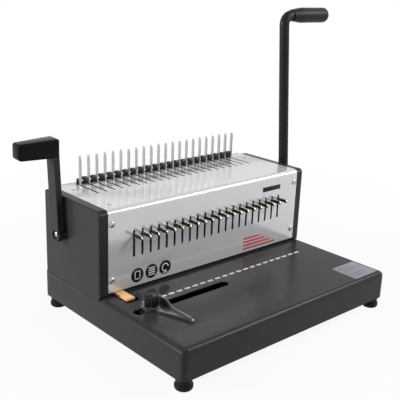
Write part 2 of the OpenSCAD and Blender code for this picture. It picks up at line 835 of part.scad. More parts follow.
module lever_hub() color([0.16, 0.16, 0.17]) lever_pose() difference() {
  rod_x(lever_x - hub_w / 2, hub_w, hub_d / 2, 0, 0);
  rod_x(lever_x - hub_w / 2 - eps, hub_w + 2 * eps, shaft_d / 2 + seat_gap, 0, 0);
  translate([lever_x, 0, socket_floor]) cylinder(h = hub_d, d = lever_tube_d + 2 * seat_gap);
}

module lever_hub_screw() color(silver)
  translate([lever_x + hub_w / 2 + seat_gap, shaft_y, shaft_z]) rotate([0, 90, 0])
    screw(shaft_d / 2 + 3, 4, end_screw_r, end_screw_l - 2);

// The lever's centre line as a round bar: up, round the bend and out to the right
module lever_path(r, bottom, end) {
  translate([lever_x, 0, bottom]) cylinder(h = lever_len - lever_bend_r - bottom, r = r);
  translate([lever_x + lever_bend_r, 0, lever_len - lever_bend_r]) rotate([90, 0, 0])
    rotate([0, 0, 90]) rotate_extrude(angle = 90) translate([lever_bend_r, 0]) circle(r);
  rod_x(lever_x + lever_bend_r, end - lever_x - lever_bend_r, r, 0, lever_len);
}

module lever_tube() color([0.12, 0.12, 0.13]) lever_pose() {
  bottom = socket_floor + seat_gap;
  end = lever_reach - grip_end - seat_gap;
  difference() {
    lever_path(lever_tube_d / 2, bottom, end);
    lever_path(lever_tube_d / 2 - lever_tube_wall, bottom - eps, end + eps);
  }
}

module lever_grip() color([0.08, 0.08, 0.08]) lever_pose()
  translate([lever_reach - lever_grip_l, 0, lever_len]) rotate([0, 90, 0])
    rotate_extrude() difference() {
      r = lever_grip_d / 2;
      round_l = lever_grip_l - lever_grip_round;
      union() {
        polygon([[0, 0], [lever_tube_d / 2 + grip_lip, 0], [r, lever_grip_taper], [r, round_l],
          [0, round_l]]);
        square([r - lever_grip_round, lever_grip_l]);
        translate([r - lever_grip_round, round_l]) circle(lever_grip_round);
      }
      translate([-r, -eps]) square([r + lever_tube_d / 2 + seat_gap, lever_grip_l - grip_end + eps]);
      translate([-2 * r, -eps]) square([2 * r, lever_grip_l + 2 * eps]);
    }

// Comb opening

// A low angle behind the hooks, with a post at each end
module hook_rail() color(black) translate([-hook_rail_x, hook_rail_y, body_top + seat_gap]) {
  cube([2 * hook_rail_x, hook_t, hook_rail_h]);
  cube([2 * hook_rail_x, hook_rail_foot, hook_t]);
  for (x = [0, 2 * hook_rail_x - hook_tail_w]) translate([x, 0, 0])
    cube([hook_tail_w, hook_t, hook_post_h]);
}

// One bent strip for each hole: a leg on the rail, an arm forwards and a lip down to a tail
module comb_hooks() color(black) for (i = [0 : hole_count - 1]) {
  low = body_top + hook_h - hook_drop;
  foot = body_top + 2 * seat_gap;
  intersection() {
    along_x(hole_x(i) - hook_w / 2, hook_w) translate([hook_rail_y - seat_gap - hook_reach, low])
      difference() {
        round_top(hook_reach, hook_drop, hook_bend_r);
        translate([hook_t, -eps]) square([hook_reach - 2 * hook_t, hook_drop - hook_t + eps]);
      }
    along_y(hook_rail_y - hook_reach - eps, hook_reach + 2 * eps) translate([hole_x(i), low])
      polygon([[-hook_w / 2, hook_drop], [-hook_w / 2, hook_drop / 2], [hook_w / 2 - hook_tail_w, 0],
        [hook_w / 2, 0], [hook_w / 2, hook_drop]]);
  }
  translate([hole_x(i) + hook_w / 2 - hook_tail_w, hook_rail_y - seat_gap - hook_t, foot])
    cube([hook_tail_w, hook_t, low - foot + eps]);
}

module comb_lever_profile(grow) {
  r = comb_lever_w / 2 + grow;
  circle(r + 1);
  translate([-r, 0]) square([2 * r, comb_arm_top]);
  translate([0, comb_arm_top]) circle(r);
}

module comb_lever_arm() color(black) comb_pose() difference() {
  intersection() {
    along_x(-comb_out, comb_lever_t) comb_lever_profile(0);
    translate([-comb_out, -comb_lever_w, -comb_lever_w])
      linear_extrude(comb_lever_len + 2 * comb_lever_w)
        translate([0, comb_lever_w / 2 - 1]) round_rect(comb_lever_t, comb_lever_w + 2, 2);
  }
  rod_x(-comb_in - comb_socket, comb_socket + eps, opener_shaft_d / 2 + seat_gap, 0, 0);
  rod_x(-comb_out - eps, comb_lever_t, end_screw_r + screw_room, 0, 0);
  rod_x(-comb_out - eps, comb_sink + eps, screw_head_r + 2, 0, 0);
}

// The grip's length by a height, round at its outer end and by another radius over the arm
module grip_outline(h, arm_end_r) {
  half = comb_grip_l / 2;
  intersection() {
    round_rect(comb_grip_l, h, comb_grip_end_r);
    square([half, h]);
  }
  intersection() {
    round_rect(comb_grip_l, h, arm_end_r);
    translate([half, 0]) square([half, h]);
  }
}

module comb_lever_grip() color([0.08, 0.08, 0.08]) comb_pose() difference() {
  low = comb_lever_len - comb_grip_h / 2;
  intersection() {
    along_x(-comb_reach, comb_grip_l) translate([-comb_grip_w / 2, low])
      round_rect(comb_grip_w, comb_grip_h, comb_grip_edge_r);
    along_y(-comb_grip_w, 2 * comb_grip_w) translate([-comb_reach, low])
      grip_outline(comb_grip_h, comb_grip_corner_r);
    translate([-comb_reach, -comb_grip_w / 2, 0]) linear_extrude(2 * comb_lever_len)
      grip_outline(comb_grip_w, comb_grip_arm_r);
  }
  along_x(-comb_out - seat_gap, comb_lever_t + seat_gap + eps) comb_lever_profile(seat_gap);
}

module comb_lever_screw() color(silver)
  translate([-comb_out + comb_sink - seat_gap, opener_y, opener_z]) rotate([0, -90, 0])
    screw(screw_head_r, screw_head_h, end_screw_r, end_screw_l);

module opener_shaft() color(silver) difference() {
  left = -comb_in - comb_socket + seat_gap;
  rod_x(left, frame_out + 2 - left, opener_shaft_d / 2, opener_y, opener_z);
  rod_x(left - eps, end_screw_l + 2 + eps, end_screw_r + seat_gap, opener_y, opener_z);
}

module sector_gears() color(steel) both_sides() difference() {
  along_x(sector_x - sector_w / 2, sector_w) translate([opener_y, opener_z]) {
    circle(opener_shaft_d / 2 + 6);
    polygon(concat([[0, 0]], toothed(sector_teeth, 90, sector_first, 0)));
  }
  rod_x(sector_x - sector_w, 2 * sector_w, opener_shaft_d / 2 + seat_gap, opener_y, opener_z);
}

module carriage_rails() color(steel) both_sides()
  translate([frame_in - rail_w, pin_y - comb_travel - bar_d, bar_z - slide_gap - rail_h])
    cube([rail_w - seat_gap, comb_travel + bar_d * 3 / 2, rail_h]);

module carriage_bar() color(steel) difference() {
  translate([-frame_in + 2 * slide_gap, pin_y - bar_d / 2, bar_z])
    cube([2 * (frame_in - 2 * slide_gap), bar_d, bar_h]);
  for (i = [0 : hole_count])
    translate([pin_x(i) - pin_t / 2 - seat_gap, pin_y - pin_w / 2 - seat_gap, bar_z - eps])
      cube([pin_t + 2 * seat_gap, pin_w + 2 * seat_gap, bar_h + 2 * eps]);
}

module opening_pins() color(silver) for (i = [0 : hole_count])
  along_x(pin_x(i) - pin_t / 2, pin_t) translate([pin_y, 0]) {
    half = pin_w / 2;
    tip = body_top + pin_h - pin_tip_r;
    polygon([[-half, bar_z], [half, bar_z], [half, tip - pin_taper], [pin_tip_r, tip],
      [-pin_tip_r, tip], [-half, tip - pin_taper]]);
    translate([0, tip]) circle(pin_tip_r);
  }

module carriage_racks() color(silver) both_sides()
  along_x(sector_x - sector_w / 2, sector_w) translate([opener_y, carriage_pitch_z]) mirror([0, 1])
    rack(-1, carriage_rack_last);

// Paper stops

// Foot round the knob, a fence that runs towards the front and a gusset between them
module edge_guide() color(silver) difference() {
  seat = base_top + slide_gap;
  union() {
    translate([guide_x, guide_y, seat]) cylinder(h = boss_h, r = boss_r);
    translate([0, guide_y, seat]) linear_extrude(guide_foot_h)
      polygon([[guide_x - gusset_in, 0], [fence_x, -fence_front + fence_low],
        [fence_x + fence_t, -fence_front + fence_low], [fence_x + fence_t, fence_back],
        [guide_x, fence_back]]);
    along_x(fence_x, fence_t) translate([guide_y, seat]) {
      polygon([[fence_back, 0], [fence_back, fence_h], [-fence_back, fence_h],
        [-fence_back - fence_slope, fence_low], [-fence_front + fence_low, fence_low],
        [-fence_front + fence_low, 0]]);
      intersection() {
        translate([-fence_front + fence_low, 0]) circle(fence_low);
        translate([-fence_front, 0]) square(fence_low);
      }
    }
  }
  translate([guide_x, guide_y, seat - eps])
    cylinder(h = boss_h + 2 * eps, r = stud_d / 2 + running_gap);
}

// Slot block, clamp plate under the base's sheet, and the stud for the knob
module guide_clamp() color(steel) translate([guide_x, guide_y, 0]) {
  plate_top = base_top - base_wall - slide_gap;
  translate([-guide_block_l / 2 - clamp_plate_over, -guide_slot_w / 2 - clamp_plate_over,
      plate_top - clamp_plate_t])
    cube([guide_block_l + 2 * clamp_plate_over, guide_slot_w + 2 * clamp_plate_over, clamp_plate_t]);
  translate([0, 0, plate_top - eps]) linear_extrude(base_top - plate_top + eps)
    slot(-guide_block_l / 2, guide_block_l / 2, guide_block_in);
  translate([0, 0, plate_top]) cylinder(h = base_top + boss_h + knob_h - 4 - plate_top, d = stud_d);
}

module clamp_knob() color([0.09, 0.09, 0.09])
  translate([guide_x, guide_y, base_top + slide_gap + boss_h + slide_gap]) difference() {
    crown = 2;
    rotate_extrude() {
      square([knob_d / 2, knob_h - crown]);
      square([knob_d / 2 - crown, knob_h]);
      translate([knob_d / 2 - crown, knob_h - crown]) circle(crown);
    }
    for (i = [0 : knob_grooves - 1]) rotate(i * 360 / knob_grooves)
      translate([knob_d / 2, 0, 2]) cylinder(h = knob_h, r = knob_groove_r);
    translate([0, 0, -eps]) cylinder(h = knob_h - 3 + eps, r = stud_d / 2 + running_gap);
  }

// A bar across the throat's back, moved by the yellow tab in front
module depth_stop() color([0.9, 0.68, 0.25]) translate([0, 0, base_top + slide_gap]) {
  translate([depth_tab_x, -depth_tab_reach, 0])
    cube([depth_tab_w, depth_tab_reach + depth_y + depth_bar_d, depth_tab_t]);
  translate([depth_tab_x, depth_y, 0])
    cube([-depth_tab_x + die_x, depth_bar_d, throat_h - 2 * slide_gap]);
}

module chip_drawer() color([0.1, 0.1, 0.11]) {
  length = drawer_x + base_x;
  wide = drawer_w + 2 * drawer_front_over;
  difference() {
    translate([-drawer_x, drawer_y, drawer_z]) cube([length, drawer_w, drawer_h]);
    translate([-drawer_x + drawer_wall, drawer_y + drawer_wall, drawer_z + drawer_wall])
      cube([length - drawer_wall - drawer_front_t, drawer_w - 2 * drawer_wall, drawer_h]);
  }
  translate([base_x - base_wall, drawer_y - drawer_front_over, drawer_z])
    cube([base_wall, wide, drawer_h + drawer_front_over]);
  translate([base_x - eps, drawer_y + drawer_w / 4, drawer_z + drawer_h - 2 * drawer_wall])
    cube([drawer_lip + eps, drawer_w / 2, drawer_wall]);
}

in_frame() base_shell();
in_frame() bottom_plate();
in_frame() rubber_feet();
in_frame() left_cover();
in_frame() right_cover();
in_frame() front_top_cover();
in_frame() rear_cover();
in_frame() side_frames();
in_frame() die_plate();
in_frame() guide_block();
in_frame() guide_pillars();
in_frame() return_springs();
in_frame() shaft_bushes();
in_frame() carriage_rails();
in_frame() hook_rail();
in_frame() comb_hooks();
in_frame() cover_screws();
in_frame() main_shaft();
in_frame() drive_pinions();
in_frame() lever_hub();
in_frame() lever_tube();
in_frame() lever_grip();
in_frame() lever_hub_screw();
in_frame() punch_beam();
in_frame() beam_racks();
in_frame() punches();
in_frame() comb_lever_arm();
in_frame() comb_lever_grip();
in_frame() opener_shaft();
in_frame() sector_gears();
in_frame() comb_lever_screw();
in_frame() carriage_bar();
in_frame() opening_pins();
in_frame() carriage_racks();
in_frame() edge_guide();
in_frame() guide_clamp();
in_frame() clamp_knob();
in_frame() depth_stop();
in_frame() chip_drawer();
for (i = [0 : hole_count - 1])
  in_frame() pull_tab(i);
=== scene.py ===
"""Looks of a desk machine that punches paper and binds it with plastic combs.

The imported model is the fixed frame, and every piece here sits where the frame says. The script gives
each piece its finish, adds printed and pressed trim, and sets a plain studio round the machine.
All sizes are in metres.
"""

import logging
import math
from dataclasses import dataclass
from enum import Enum
from typing import Optional, Sequence, Union

import bmesh
import bpy
from mathutils import Matrix, Vector


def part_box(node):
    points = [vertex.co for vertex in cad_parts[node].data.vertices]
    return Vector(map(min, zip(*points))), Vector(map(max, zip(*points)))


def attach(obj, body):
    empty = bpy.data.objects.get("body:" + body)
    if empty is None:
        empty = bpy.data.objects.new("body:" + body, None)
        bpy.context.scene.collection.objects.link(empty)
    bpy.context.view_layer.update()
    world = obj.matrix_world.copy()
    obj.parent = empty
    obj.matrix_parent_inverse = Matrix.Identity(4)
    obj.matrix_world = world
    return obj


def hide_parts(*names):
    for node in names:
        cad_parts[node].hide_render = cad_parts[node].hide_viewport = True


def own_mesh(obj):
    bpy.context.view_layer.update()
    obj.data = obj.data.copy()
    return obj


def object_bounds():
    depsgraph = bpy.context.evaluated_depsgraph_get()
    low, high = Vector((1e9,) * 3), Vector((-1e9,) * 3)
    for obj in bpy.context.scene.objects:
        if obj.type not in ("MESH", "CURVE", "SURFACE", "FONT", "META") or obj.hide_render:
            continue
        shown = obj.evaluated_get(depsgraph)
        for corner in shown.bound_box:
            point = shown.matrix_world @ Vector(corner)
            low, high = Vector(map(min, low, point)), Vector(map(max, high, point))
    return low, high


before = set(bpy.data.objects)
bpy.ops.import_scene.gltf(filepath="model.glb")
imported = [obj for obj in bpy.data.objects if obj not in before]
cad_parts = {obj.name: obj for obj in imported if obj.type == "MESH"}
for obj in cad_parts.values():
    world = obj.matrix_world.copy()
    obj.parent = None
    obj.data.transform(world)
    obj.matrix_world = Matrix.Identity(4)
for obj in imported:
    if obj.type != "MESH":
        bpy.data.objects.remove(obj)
CAD_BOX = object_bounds()

LOG = logging.getLogger("binding_machine")
MM = 0.001
FULL_TURN = 2 * math.pi
QUARTER_TURN = math.pi / 2
HOLE_PITCH = 14.2875 * MM

Pair = tuple[float, float]
Triple = tuple[float, float, float]
Colour = Triple
Mesh = bmesh.types.BMesh
Material = bpy.types.Material
Socket = bpy.types.NodeSocket
Outputs = bpy.types.NodeOutputs
Value = Union[float, Sequence[float], Socket]


class Effect(Enum):
    """Surface effects that several finishes share, each one shader node group."""

    GRAIN = "fine_grain"
    HANDLING = "handling"
    DRAWN = "drawn_lines"
    # Edges made paler or brighter: partly wear, partly a painted highlight along the edges.
    RUB = "edge_rub"


class Facing(Enum):
    """Ways that a flat piece of trim can face, as the turn from facing up."""

    UP = Matrix.Identity(3)
    FRONT = Matrix.Rotation(QUARTER_TURN, 3, "X")
    LEFT = Matrix.Rotation(-QUARTER_TURN, 3, "Y")
    RIGHT = Matrix.Rotation(QUARTER_TURN, 3, "Y")


def mesh_of(name: str, shape: Mesh) -> bpy.types.Mesh:
    """Turn a mesh under work into mesh data.

    Args:
        name: The data's name.
        shape: The mesh, which is used up.

    Returns:
        The data.
    """
    mesh = bpy.data.meshes.new(name)
    shape.to_mesh(mesh)
    shape.free()
    return mesh


def placed(name: str, data: bpy.types.ID) -> bpy.types.Object:
    """Put an object into the scene.

    Args:
        name: The object's name.
        data: Its mesh, lamp or camera.

    Returns:
        The object.
    """
    made = bpy.data.objects.new(name, data)
    bpy.context.scene.collection.objects.link(made)
    return made


def middle_of(node: str) -> Vector:
    """Give the middle of a node's box."""
    low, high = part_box(node)
    return (low + high) / 2


class NodePad:
    """Places and joins nodes in one node tree."""

    def __init__(self, owner: Union[Material, bpy.types.World, bpy.types.NodeTree]) -> None:
        """Start with no nodes.

        Args:
            owner: A new material or world whose nodes are placed, or a new node group.
        """
        if isinstance(owner, bpy.types.NodeTree):
            self.tree = owner
        else:
            owner.use_nodes = True
            self.tree = owner.node_tree
        self.tree.nodes.clear()

    def feed(self, socket: Socket, value: Value) -> None:
        """Join a socket to an input, or set the input to a constant.

        Args:
            socket: The input.
            value: Another socket, a number, or a colour or vector.
        """
        if isinstance(value, Socket):
            self.tree.links.new(value, socket)
        elif socket.type == "RGBA" and len(value) == 3:
            socket.default_value = (*value, 1.0)
        else:
            socket.default_value = value

    def add(self, kind: str, inputs: Optional[dict[Union[str, int], Value]] = None,
            **settings: object) -> bpy.types.Node:
        """Place a node.

        Args:
            kind: The node's type name.
            inputs: Sockets or constants for its inputs, by name or number.
            **settings: Values for the node's own properties.

        Returns:
            The new node.
        """
        node = self.tree.nodes.new(kind)
        for key, value in settings.items():
            setattr(node, key, value)
        for key, value in (inputs or {}).items():
            self.feed(node.inputs[key], value)
        return node

    def math(self, operation: str, first: Value, second: Value = 0.0) -> Socket:
        """Work out one value from two."""
        return self.add("ShaderNodeMath", {0: first, 1: second}, operation=operation).outputs[0]

    def vector(self, operation: str, *vectors: Value) -> Outputs:
        """Work out a value or vector from one or two vectors."""
        return self.add("ShaderNodeVectorMath", dict(enumerate(vectors)), operation=operation).outputs

    def spread(self, value: Value, taken: Sequence[Value], given: Sequence[Value] = (0.0, 1.0)) -> Socket:
        """Map a value from one range, as its two ends, to another, and hold it there."""
        ends = {"From Min": taken[0], "From Max": taken[1], "To Min": given[0], "To Max": given[1]}
        return self.add("ShaderNodeMapRange", {"Value": value, **ends}).outputs["Result"]

    def noise(self, place: Value, scale: Value, detail: float, roughness: float = 0.5) -> Socket:
        """Give noise of so many patches to the metre, with finer layers of that number and strength."""
        inputs = {"Vector": place, "Scale": scale, "Detail": detail, "Roughness": roughness}
        return self.add("ShaderNodeTexNoise", inputs).outputs["Fac"]

    def mix(self, first: Value, second: Value, share: Value) -> Socket:
        """Mix two colours.

        Args:
            first: The first colour.
            second: The second colour.
            share: How much of the second colour shows.

        Returns:
            The mixed colour's socket.
        """
        node = self.add("ShaderNodeMix", {"Factor": share}, data_type="RGBA")
        colours = [s for s in node.inputs if s.type == "RGBA"]
        self.feed(colours[0], first)
        self.feed(colours[1], second)
        return next(s for s in node.outputs if s.type == "RGBA")

    def tint(self, first: Value, second: Value, mask: Socket, most: float) -> Socket:
        """Mix a second colour in where a mask is, with the most that shows of it."""
        return self.mix(first, second, self.math("MULTIPLY", mask, most))


class EffectShelf:
    """Builds each shared effect once, as a shader node group."""

    def __init__(self) -> None:
        """Start with no group made."""
        self.made: dict[Effect, bpy.types.NodeTree] = {}

    def group(self, effect: Effect) -> bpy.types.NodeTree:
        """Give an effect's node group, building it the first time.

        Args:
            effect: The effect.

        Returns:
            Its node group.
        """
        builders = {Effect.GRAIN: self.build_grain, Effect.HANDLING: self.build_handling,
                    Effect.DRAWN: self.build_drawn, Effect.RUB: self.build_rub}
        if effect not in self.made:
            self.made[effect] = builders[effect]()
        return self.made[effect]

    @staticmethod
    def start(effect: Effect, takes: dict[str, str],
              gives: Sequence[str]) -> tuple[NodePad, Outputs, bpy.types.NodeInputs]:
        """Start a group with its sockets.

        Args:
            effect: The effect that it makes.
            takes: Its inputs besides the place, as names with the socket's kind.
            gives: The names of its outputs, all of them numbers.

        Returns:
            The group's pad, the sockets of what it takes and those of what it gives.
        """
        tree = bpy.data.node_groups.new(effect.value, "ShaderNodeTree")
        for label, kind in {"Vector": "Vector", **takes}.items():
            tree.interface.new_socket(label, in_out="INPUT", socket_type=f"NodeSocket{kind}")
        for label in gives:
            tree.interface.new_socket(label, in_out="OUTPUT", socket_type="NodeSocketFloat")
        pad = NodePad(tree)
        return pad, pad.add("NodeGroupInput").outputs, pad.add("NodeGroupOutput").inputs

    def build_grain(self) -> bpy.types.NodeTree:
        """Build the small bumps of sprayed paint and of moulded skins.

        Returns:
            The group.
        """
        wide_scale, wide_share = 0.31, 0.6
        pad, takes, gives = self.start(Effect.GRAIN, {"Scale": "Float"}, ["Height", "Fleck"])
        fine = pad.noise(takes["Vector"], takes["Scale"], 2.0, 0.6)
        wide = pad.noise(takes["Vector"], pad.math("MULTIPLY", takes["Scale"], wide_scale), 1.0)
        pad.feed(gives["Height"], pad.math("ADD", fine, pad.math("MULTIPLY", wide, wide_share)))
        pad.feed(gives["Fleck"], pad.spread(fine, (0.35, 0.65)))
        return pad.tree

    def build_handling(self) -> bpy.types.NodeTree:
        """Build the soft patches that hands and cleaning leave.

        Returns:
            The group.
        """
        smear_scale, wide_share, smear_share = 7.3, 0.72, 0.28
        clean_to_worn = (0.32, 0.68)
        takes = {"Scale": "Float", "Low": "Float", "High": "Float"}
        pad, takes, gives = self.start(Effect.HANDLING, takes, ["Value", "Patch"])
        wide = pad.noise(takes["Vector"], takes["Scale"], 4.0, 0.55)
        smear = pad.noise(takes["Vector"], pad.math("MULTIPLY", takes["Scale"], smear_scale), 3.0, 0.6)
        both = pad.math("ADD", pad.math("MULTIPLY", wide, wide_share),
                        pad.math("MULTIPLY", smear, smear_share))
        pad.feed(gives["Value"], pad.spread(both, clean_to_worn, (takes["Low"], takes["High"])))
        pad.feed(gives["Patch"], pad.spread(both, clean_to_worn))
        return pad.tree

    def build_drawn(self) -> bpy.types.NodeTree:
        """Build the fine lines that rolling, drawing or grinding leaves on metal.

        Returns:
            The group.
        """
        pad, takes, gives = self.start(Effect.DRAWN, {"Stretch": "Vector"}, ["Height", "Streak"])
        stretched = pad.vector("MULTIPLY", takes["Vector"], takes["Stretch"])[0]
        lines = pad.noise(stretched, 1.0, 3.0, 0.65)
        pad.feed(gives["Height"], lines)
        pad.feed(gives["Streak"], pad.spread(lines, (0.3, 0.7)))
        return pad.tree

    def build_rub(self) -> bpy.types.NodeTree:
        """Build the mask of edges, broken up by noise, where finishes turn paler: partly wear, partly a
        painted highlight.

        Returns:
            The group.
        """
        flat_to_edge, whole_to_marked, least_marked = (0.995, 0.86), (0.36, 0.62), 0.15
        pad, takes, gives = self.start(Effect.RUB, {"Radius": "Float", "Scale": "Float"}, ["Mask"])
        rounded = pad.add("ShaderNodeBevel", {"Radius": takes["Radius"]}, samples=4).outputs["Normal"]
        true_normal = pad.add("ShaderNodeNewGeometry").outputs["Normal"]
        turned = pad.vector("DOT_PRODUCT", rounded, true_normal)["Value"]
        edge = pad.spread(turned, flat_to_edge)
        patchy = pad.noise(takes["Vector"], takes["Scale"], 4.0, 0.6)
        broken = pad.spread(patchy, whole_to_marked, (least_marked, 1.0))
        pad.feed(gives["Mask"], pad.math("MULTIPLY", edge, broken))
        return pad.tree


SHELF = EffectShelf()


class MaterialPad(NodePad):
    """The node tree of one material with a Principled shader."""

    def __init__(self, name: str) -> None:
        """Make the material.

        Args:
            name: Its name.
        """
        self.material = bpy.data.materials.new(name)
        super().__init__(self.material)
        self.shader = self.add("ShaderNodeBsdfPrincipled")
        self.add("ShaderNodeOutputMaterial", {"Surface": self.shader.outputs["BSDF"]})
        self.place = self.add("ShaderNodeTexCoord").outputs["Object"]

    def shine(self, **values: Value) -> None:
        """Set the shader's inputs, with names such as base_color for Base Color.

        Args:
            **values: Sockets or constants, by input.
        """
        names = {s.name.lower().replace(" ", "_"): s for s in self.shader.inputs}
        for key, value in values.items():
            self.feed(names[key], value)

    def effect(self, effect: Effect, **values: Value) -> Outputs:
        """Place a shared effect that reads the piece's own place, with its inputs in small letters."""
        inputs = {"Vector": self.place, **{key.title(): value for key, value in values.items()}}
        return self.add("ShaderNodeGroup", inputs, node_tree=SHELF.group(effect)).outputs

    def relief(self, height: Socket, depth: float, strength: float, edge_r: float) -> None:
        """Give the surface relief, and soft edges where their radius isn't zero.

        Args:
            height: The relief's height, from 0 to 1.
            depth: How deep it is.
            strength: How strongly it shows.
            edge_r: Radius of softened edges.
        """
        bump = self.add("ShaderNodeBump", {"Height": height, "Distance": depth, "Strength": strength})
        if edge_r:
            soft = self.add("ShaderNodeBevel", {"Radius": edge_r}, samples=4)
            self.feed(bump.inputs["Normal"], soft.outputs["Normal"])
        self.shine(normal=bump.outputs["Normal"])


@dataclass(frozen=True)
class Finish:
    """What every finish has, with gloss that plays round its roughness in patches of handling."""

    name: str
    colour: Colour
    roughness: float
    play: Pair = (0.06, 0.1)
    patches: float = 28.0
    relief_depth: float = 0.02 * MM
    relief_strength: float = 0.3
    edge_r: float = 0.3 * MM

    def tone(self, pad: MaterialPad, under: Value, mask: Socket, tone: Pair) -> Socket:
        """Mix a tone in where a mask is: its share of the finish's colour, and the most that shows."""
        return pad.tint(under, [c * tone[0] for c in self.colour], mask, tone[1])

    def start(self) -> tuple[MaterialPad, Socket]:
        """Start the material with its gloss.

        Returns:
            The material's pad and the mask of the handled patches.
        """
        pad = MaterialPad(self.name)
        low, high = self.roughness - self.play[0], self.roughness + self.play[1]
        hands = pad.effect(Effect.HANDLING, scale=self.patches, low=low, high=high)
        pad.shine(roughness=hands["Value"])
        return pad, hands["Patch"]

    def end(self, pad: MaterialPad, height: Socket) -> Material:
        """Give the material relief from a height, and hand it over."""
        pad.relief(height, self.relief_depth, self.relief_strength, self.edge_r)
        return pad.material

    def build(self) -> Material:
        """Build the material."""
        raise NotImplementedError


@dataclass(frozen=True)
class PowderCoat(Finish):
    """Sprayed and baked paint with a fine orange-peel skin, paler along edges: partly wear, partly a
    painted highlight.
    """

    play: Pair = (0.03, 0.04)
    patches: float = 9.0
    relief_depth: float = 0.06 * MM
    relief_strength: float = 0.35
    specular: float = 0.13
    grain: float = 900.0
    fleck_tone: Pair = (1.35, 0.5)
    hand_tone: Pair = (0.86, 0.2)
    # Paler colour on edges: partly wear, partly a painted highlight.
    worn_and_highlit_edge: Colour = (0.13, 0.13, 0.135)
    rub_r: float = 0.7 * MM
    rub_scale: float = 70.0
    rub_share: float = 0.4

    def build(self) -> Material:
        """Build the material.

        Returns:
            The material.
        """
        pad, handled = self.start()
        skin = pad.effect(Effect.GRAIN, scale=self.grain)
        rub_and_highlight = pad.effect(Effect.RUB, radius=self.rub_r, scale=self.rub_scale)
        flecked = self.tone(pad, self.colour, skin["Fleck"], self.fleck_tone)
        toned = self.tone(pad, flecked, handled, self.hand_tone)
        # The edge mask mixes in the paler colour, a painted highlight in part.
        pad.shine(base_color=pad.tint(toned, self.worn_and_highlit_edge, rub_and_highlight["Mask"], self.rub_share),
                  specular_ior_level=self.specular)
        return self.end(pad, skin["Height"])


@dataclass(frozen=True)
class SatinSheet(Finish):
    """Rolled sheet with a satin coat: faint lines along it, soft smudges, and painted shade on the faces
    that face sideways, which darkens the walls of its slots.
    """

    play: Pair = (0.05, 0.06)
    patches: float = 7.0
    relief_depth: float = 0.01 * MM
    relief_strength: float = 0.12
    metallic: float = 0.5
    stretch: Sequence[float] = (9.0, 2600.0, 2600.0)
    sparkle: float = 2400.0
    line_tone: Pair = (0.94, 0.4)
    fleck_tone: Pair = (1.08, 0.3)
    # Painted shade for the faces that face sideways, so the slot walls look dark.
    cut: Optional[Colour] = None
    slot_shade_from: Pair = (0.6, 0.8)

    def build(self) -> Material:
        """Build the material.

        Returns:
            The material.
        """
        pad, _ = self.start()
        lines = pad.effect(Effect.DRAWN, stretch=self.stretch)
        fleck = pad.effect(Effect.GRAIN, scale=self.sparkle)["Fleck"]
        lined = self.tone(pad, self.colour, lines["Streak"], self.line_tone)
        colour = self.tone(pad, lined, fleck, self.fleck_tone)
        # Painted shade: faces that face sideways, the slot walls among them, get the dark colour.
        if self.cut:
            normal = pad.add("ShaderNodeNewGeometry").outputs["Normal"]
            sideways = pad.add("ShaderNodeSeparateXYZ", {"Vector": normal}).outputs["X"]
            colour = pad.mix(colour, self.cut, pad.spread(pad.math("ABSOLUTE", sideways), self.slot_shade_from))
        pad.shine(base_color=colour, metallic=self.metallic)
        return self.end(pad, lines["Height"])


@dataclass(frozen=True)
class BareSteel(Finish):
    """Bare or plated steel: drawn or ground lines, dull patches, and edges made brighter, partly as wear
    and partly as a painted highlight.
    """

    relief_strength: float = 0.25
    stretch: Sequence[float] = (30.0, 1500.0, 1500.0)
    hand_tone: Pair = (0.8, 0.6)
    line_tone: Pair = (0.82, 0.3)
    # Brighter colour on edges: partly wear, partly a painted highlight.
    edge_wear_and_highlight_tone: Pair = (1.3, 0.5)
    rub_r: float = 0.5 * MM
    rub_scale: float = 160.0

    def build(self) -> Material:
        """Build the material.

        Returns:
            The material.
        """
        pad, handled = self.start()
        lines = pad.effect(Effect.DRAWN, stretch=self.stretch)
        rub_and_highlight = pad.effect(Effect.RUB, radius=self.rub_r, scale=self.rub_scale)
        dulled = self.tone(pad, self.colour, handled, self.hand_tone)
        lined = self.tone(pad, dulled, lines["Streak"], self.line_tone)
        # Edges turn brighter here, partly as a painted highlight.
        pad.shine(base_color=self.tone(pad, lined, rub_and_highlight["Mask"], self.edge_wear_and_highlight_tone), metallic=1.0)
        return self.end(pad, lines["Height"])


@dataclass(frozen=True)
class ShearedStrip(Finish):
    """Strips cut from oxidised sheet: dark flat sides and lighter cut edges at every tab of the row, the
    edges partly bare metal and partly a painted highlight.
    """

    play: Pair = (0.08, 0.1)
    patches: float = 120.0
    stretch: Sequence[float] = (1500.0, 60.0, 1500.0)
    # Lighter colour of the cut edges: partly bare metal, partly a painted highlight.
    cut: Colour = (0.38, 0.355, 0.305)
    oxide: float = 0.6
    middle_x: float = 0.0
    pitch: float = HOLE_PITCH
    half_t: float = 1.25 * MM
    rim: float = 0.3 * MM

    def build(self) -> Material:
        """Build the material.

        Returns:
            The material.
        """
        pad, handled = self.start()
        across = pad.add("ShaderNodeSeparateXYZ", {"Vector": pad.place}).outputs["X"]
        counted = pad.math("DIVIDE", pad.math("SUBTRACT", across, self.middle_x), self.pitch)
        from_middle = pad.math("MULTIPLY", pad.math("PINGPONG", counted, 0.5), self.pitch)
        side = pad.spread(from_middle, (self.half_t - self.rim, self.half_t - self.rim / 3))
        lines = pad.effect(Effect.DRAWN, stretch=self.stretch)
        oxidised = pad.mix(self.colour, [c * self.oxide for c in self.colour], handled)
        # The cut edges take the lighter colour, a painted highlight in part.
        pad.shine(base_color=pad.mix(self.cut, oxidised, side), metallic=1.0)
        return self.end(pad, lines["Height"])


